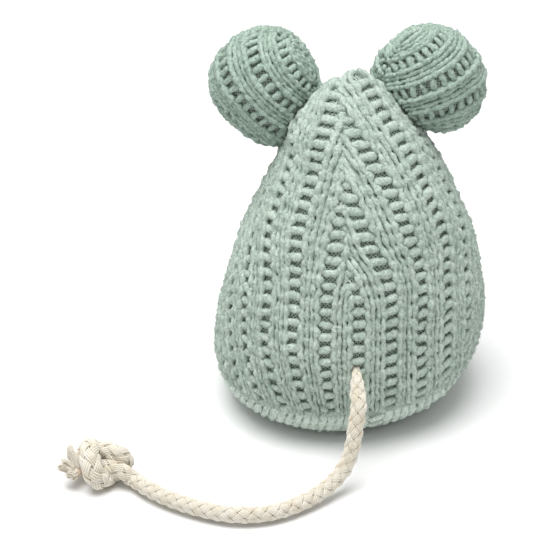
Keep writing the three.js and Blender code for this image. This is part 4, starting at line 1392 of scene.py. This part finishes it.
# Each finish: its surface, where its pattern lies, the pattern, its colours, its relief and depth in mm.
PLAIN = {
    "spun_polyester_thread": (
        dict(roughness=0.6, specular_ior_level=0.35), "UV", WAVE, {"Scale": 0.5, "Distortion": 1.0},
        ((0.2, "#b9c2b8"), (0.8, "#d5dbd2")), 0.4, 0.05),
    "dark_embroidery_floss": (
        dict(roughness=0.45, specular_ior_level=0.4, sheen_weight=0.1), "UV", WAVE,
        {"Scale": 0.4, "Distortion": 1.0}, ((0.2, "#2c2a29"), (0.8, "#46423f")), 0.4, 0.05),
    "polyester_fibre_fill": (
        dict(roughness=0.9, specular_ior_level=0.15, sheen_weight=0.4), "Object", NOISE,
        {"Scale": PER_MM / 2, "Detail": 5.0, "Distortion": 1.5},
        ((0.3, "#e2e1da"), (0.7, "#f6f5f1")), 0.9, 0.6),
    "dried_catnip": (
        dict(roughness=0.85, specular_ior_level=0.2), "Object", CELLS, {"Scale": PER_MM / 1.6},
        ((0.1, "#8c9159"), (0.5, "#6f7746"), (0.85, "#4d5330")), 0.9, 0.8),
    "scorched_cotton": (
        dict(roughness=0.9, specular_ior_level=0.2, sheen_weight=0.2), "Object", NOISE,
        {"Scale": PER_MM / 0.8, "Detail": 2.0}, ((0.3, "#d9bfa6"), (0.7, "#e2d2c0")), 0.5, 0.12)}
plain = []
for name, (surface, space, kind, pattern, stops, strength, depth) in PLAIN.items():
    material = new_material(name, **surface)
    coords = add(material, "ShaderNodeTexCoord").outputs[space]
    made = add(material, kind, {"Vector": coords, **pattern})
    height = made.outputs["Distance" if kind == CELLS else "Fac"]
    add(material, "ShaderNodeValToRGB", {"Fac": height}, stops, TO_COLOUR)
    add(material, "ShaderNodeBump", {"Height": height, "Strength": strength, "Distance": depth * MM},
        feeds=TO_NORMAL)
    plain.append(material)
thread, floss, fibre, leaf, scorched = plain
print("plain finishes:", list(PLAIN))

# %% [markdown]
# ## Joining the pieces to the model
# Pieces of the body and the end of the tail ride a body of the CAD model. Each piece gets its
# finish and takes the place of the solid that it was made from, which is hidden.

# %% Pieces of the body


def dress(piece, material, slot, *nodes):
    """Give a piece its finish and hide the solids that it stands for. The slot is not used."""
    piece.data.materials.clear()
    piece.data.materials.append(material)
    if nodes:
        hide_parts(*nodes)


for name, piece in body_knits.items():
    # The base's chenille is the lighter one, with painted light on its downward-facing rim.
    dye_and_painted_light = base_chenille_painted_light if name == "base" else body_chenille
    dress(piece, dye_and_painted_light, "knit", f"{name}_panel")
    dress(body_piles[name], dye_and_painted_light, "knit")
inside = ((net_lining, net, "net", "net_lining"), (body_stuffing, fibre, "fibre", "body_stuffing"),
          (sachet, muslin, "muslin", "catnip_sachet"), (sachet_tie, thread, "thread", "sachet_tie"),
          (catnip, leaf, "catnip", "dried_catnip"), (tail_anchor, cotton, "cotton", "tail_anchor"))
for piece, material, slot, node in inside:
    dress(piece, material, slot, node)
for node, piece in sewing.items():
    dress(piece, thread, "thread", node)
for node, piece in face.items():
    dress(piece, floss, "embroidery", node)
for name, piece in ear_tacks.items():
    dress(piece, thread, "thread", f"{name}_ear_tack_stitch")
for piece in [*body_knits.values(), *body_piles.values(), *(row[0] for row in inside),
              *sewing.values(), *face.values(), *ear_tacks.values()]:
    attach(piece, "mouse_body")
print(len(frame["nodes"]), "nodes in the frame")

# %% [markdown]
# The ears' pieces, and the root and the cord of the tail, are given their finishes and keep their
# places as made, without riding a body.

# %% Ears
for name, ear in EARS.items():
    rides = {ear_nets[name]: (net, "net", ()),
             ear_fills[name]: (fibre, "fibre", (f"{name}_ear_stuffing",)),
             ear_rims[name]: (thread, "thread", (f"{name}_ear_rim_thread",))}
    for panel in ("back", "front"):
        rides[ear_knits[name, panel]] = (ear_chenille, "knit", (f"{name}_ear_{panel}_panel",))
        rides[ear_piles[name, panel]] = (ear_chenille, "knit", ())
    for piece, (material, slot, nodes) in rides.items():
        dress(piece, material, slot, *nodes)
        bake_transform(piece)


# %% Tail
for piece, node in ((tail_root, "tail_root"), (tail_cord, "tail_cord"), (tail_knot, "tail_knot"),
                    (tail_fray, "tail_frayed_end")):
    dress(piece, cotton, "cotton", node)
for piece, material in ((cord_lint, cotton), (knot_lint, cotton), (fray_core, scorched)):
    dress(piece, material, "cotton")
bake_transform(tail_root)
for piece in (tail_cord, cord_lint):
    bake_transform(piece)
for piece in (tail_knot, knot_lint, tail_fray, fray_core):
    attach(piece, "tail")
print("the free cord is", round(tail_run[-1] - split_at, 1), "mm long")

# %% [markdown]
# ## Floor and light
# A plain sheet of pale paper, soft light from all round and one large round lamp overhead, a little
# to the left and to the back, as in a small product studio. The light is kept at a level where a
# colour renders about as it is written, and the paper's own paleness makes the background white.

# %% Floor and light
SKY_LIGHT = 0.52
LAMP_WATTS = 13.3
bpy.ops.object.select_all(action="DESELECT")
bpy.ops.mesh.primitive_plane_add(size=6, location=(0, 0, 0))
floor = bpy.context.active_object
floor.name = "studio_floor"
paper = new_material("white_paper", base_color=srgb("#ececec"), roughness=1.0, specular_ior_level=0.0)
floor.data.materials.append(paper)

world = bpy.data.worlds.new("studio")
bpy.context.scene.world = world
world.use_nodes = True
sky = world.node_tree.nodes["Background"]
sky.inputs["Color"].default_value = (1, 1, 1, 1)
sky.inputs["Strength"].default_value = SKY_LIGHT

lamp = bpy.data.lights.new("overhead_softbox", "AREA")
lamp.shape = "DISK"
lamp.size = 0.9
lamp.energy = LAMP_WATTS
softbox = bpy.data.objects.new("overhead_softbox", lamp)
bpy.context.collection.objects.link(softbox)
softbox.location = (-0.07, -0.07, 1.0)
lamp_aim = Vector((0, 0, 0.04)) - softbox.location
softbox.rotation_euler = lamp_aim.to_track_quat("-Z", "Y").to_euler()
bpy.context.scene.view_settings.view_transform = "Standard"
print("lamp", LAMP_WATTS, "W, sky", SKY_LIGHT)
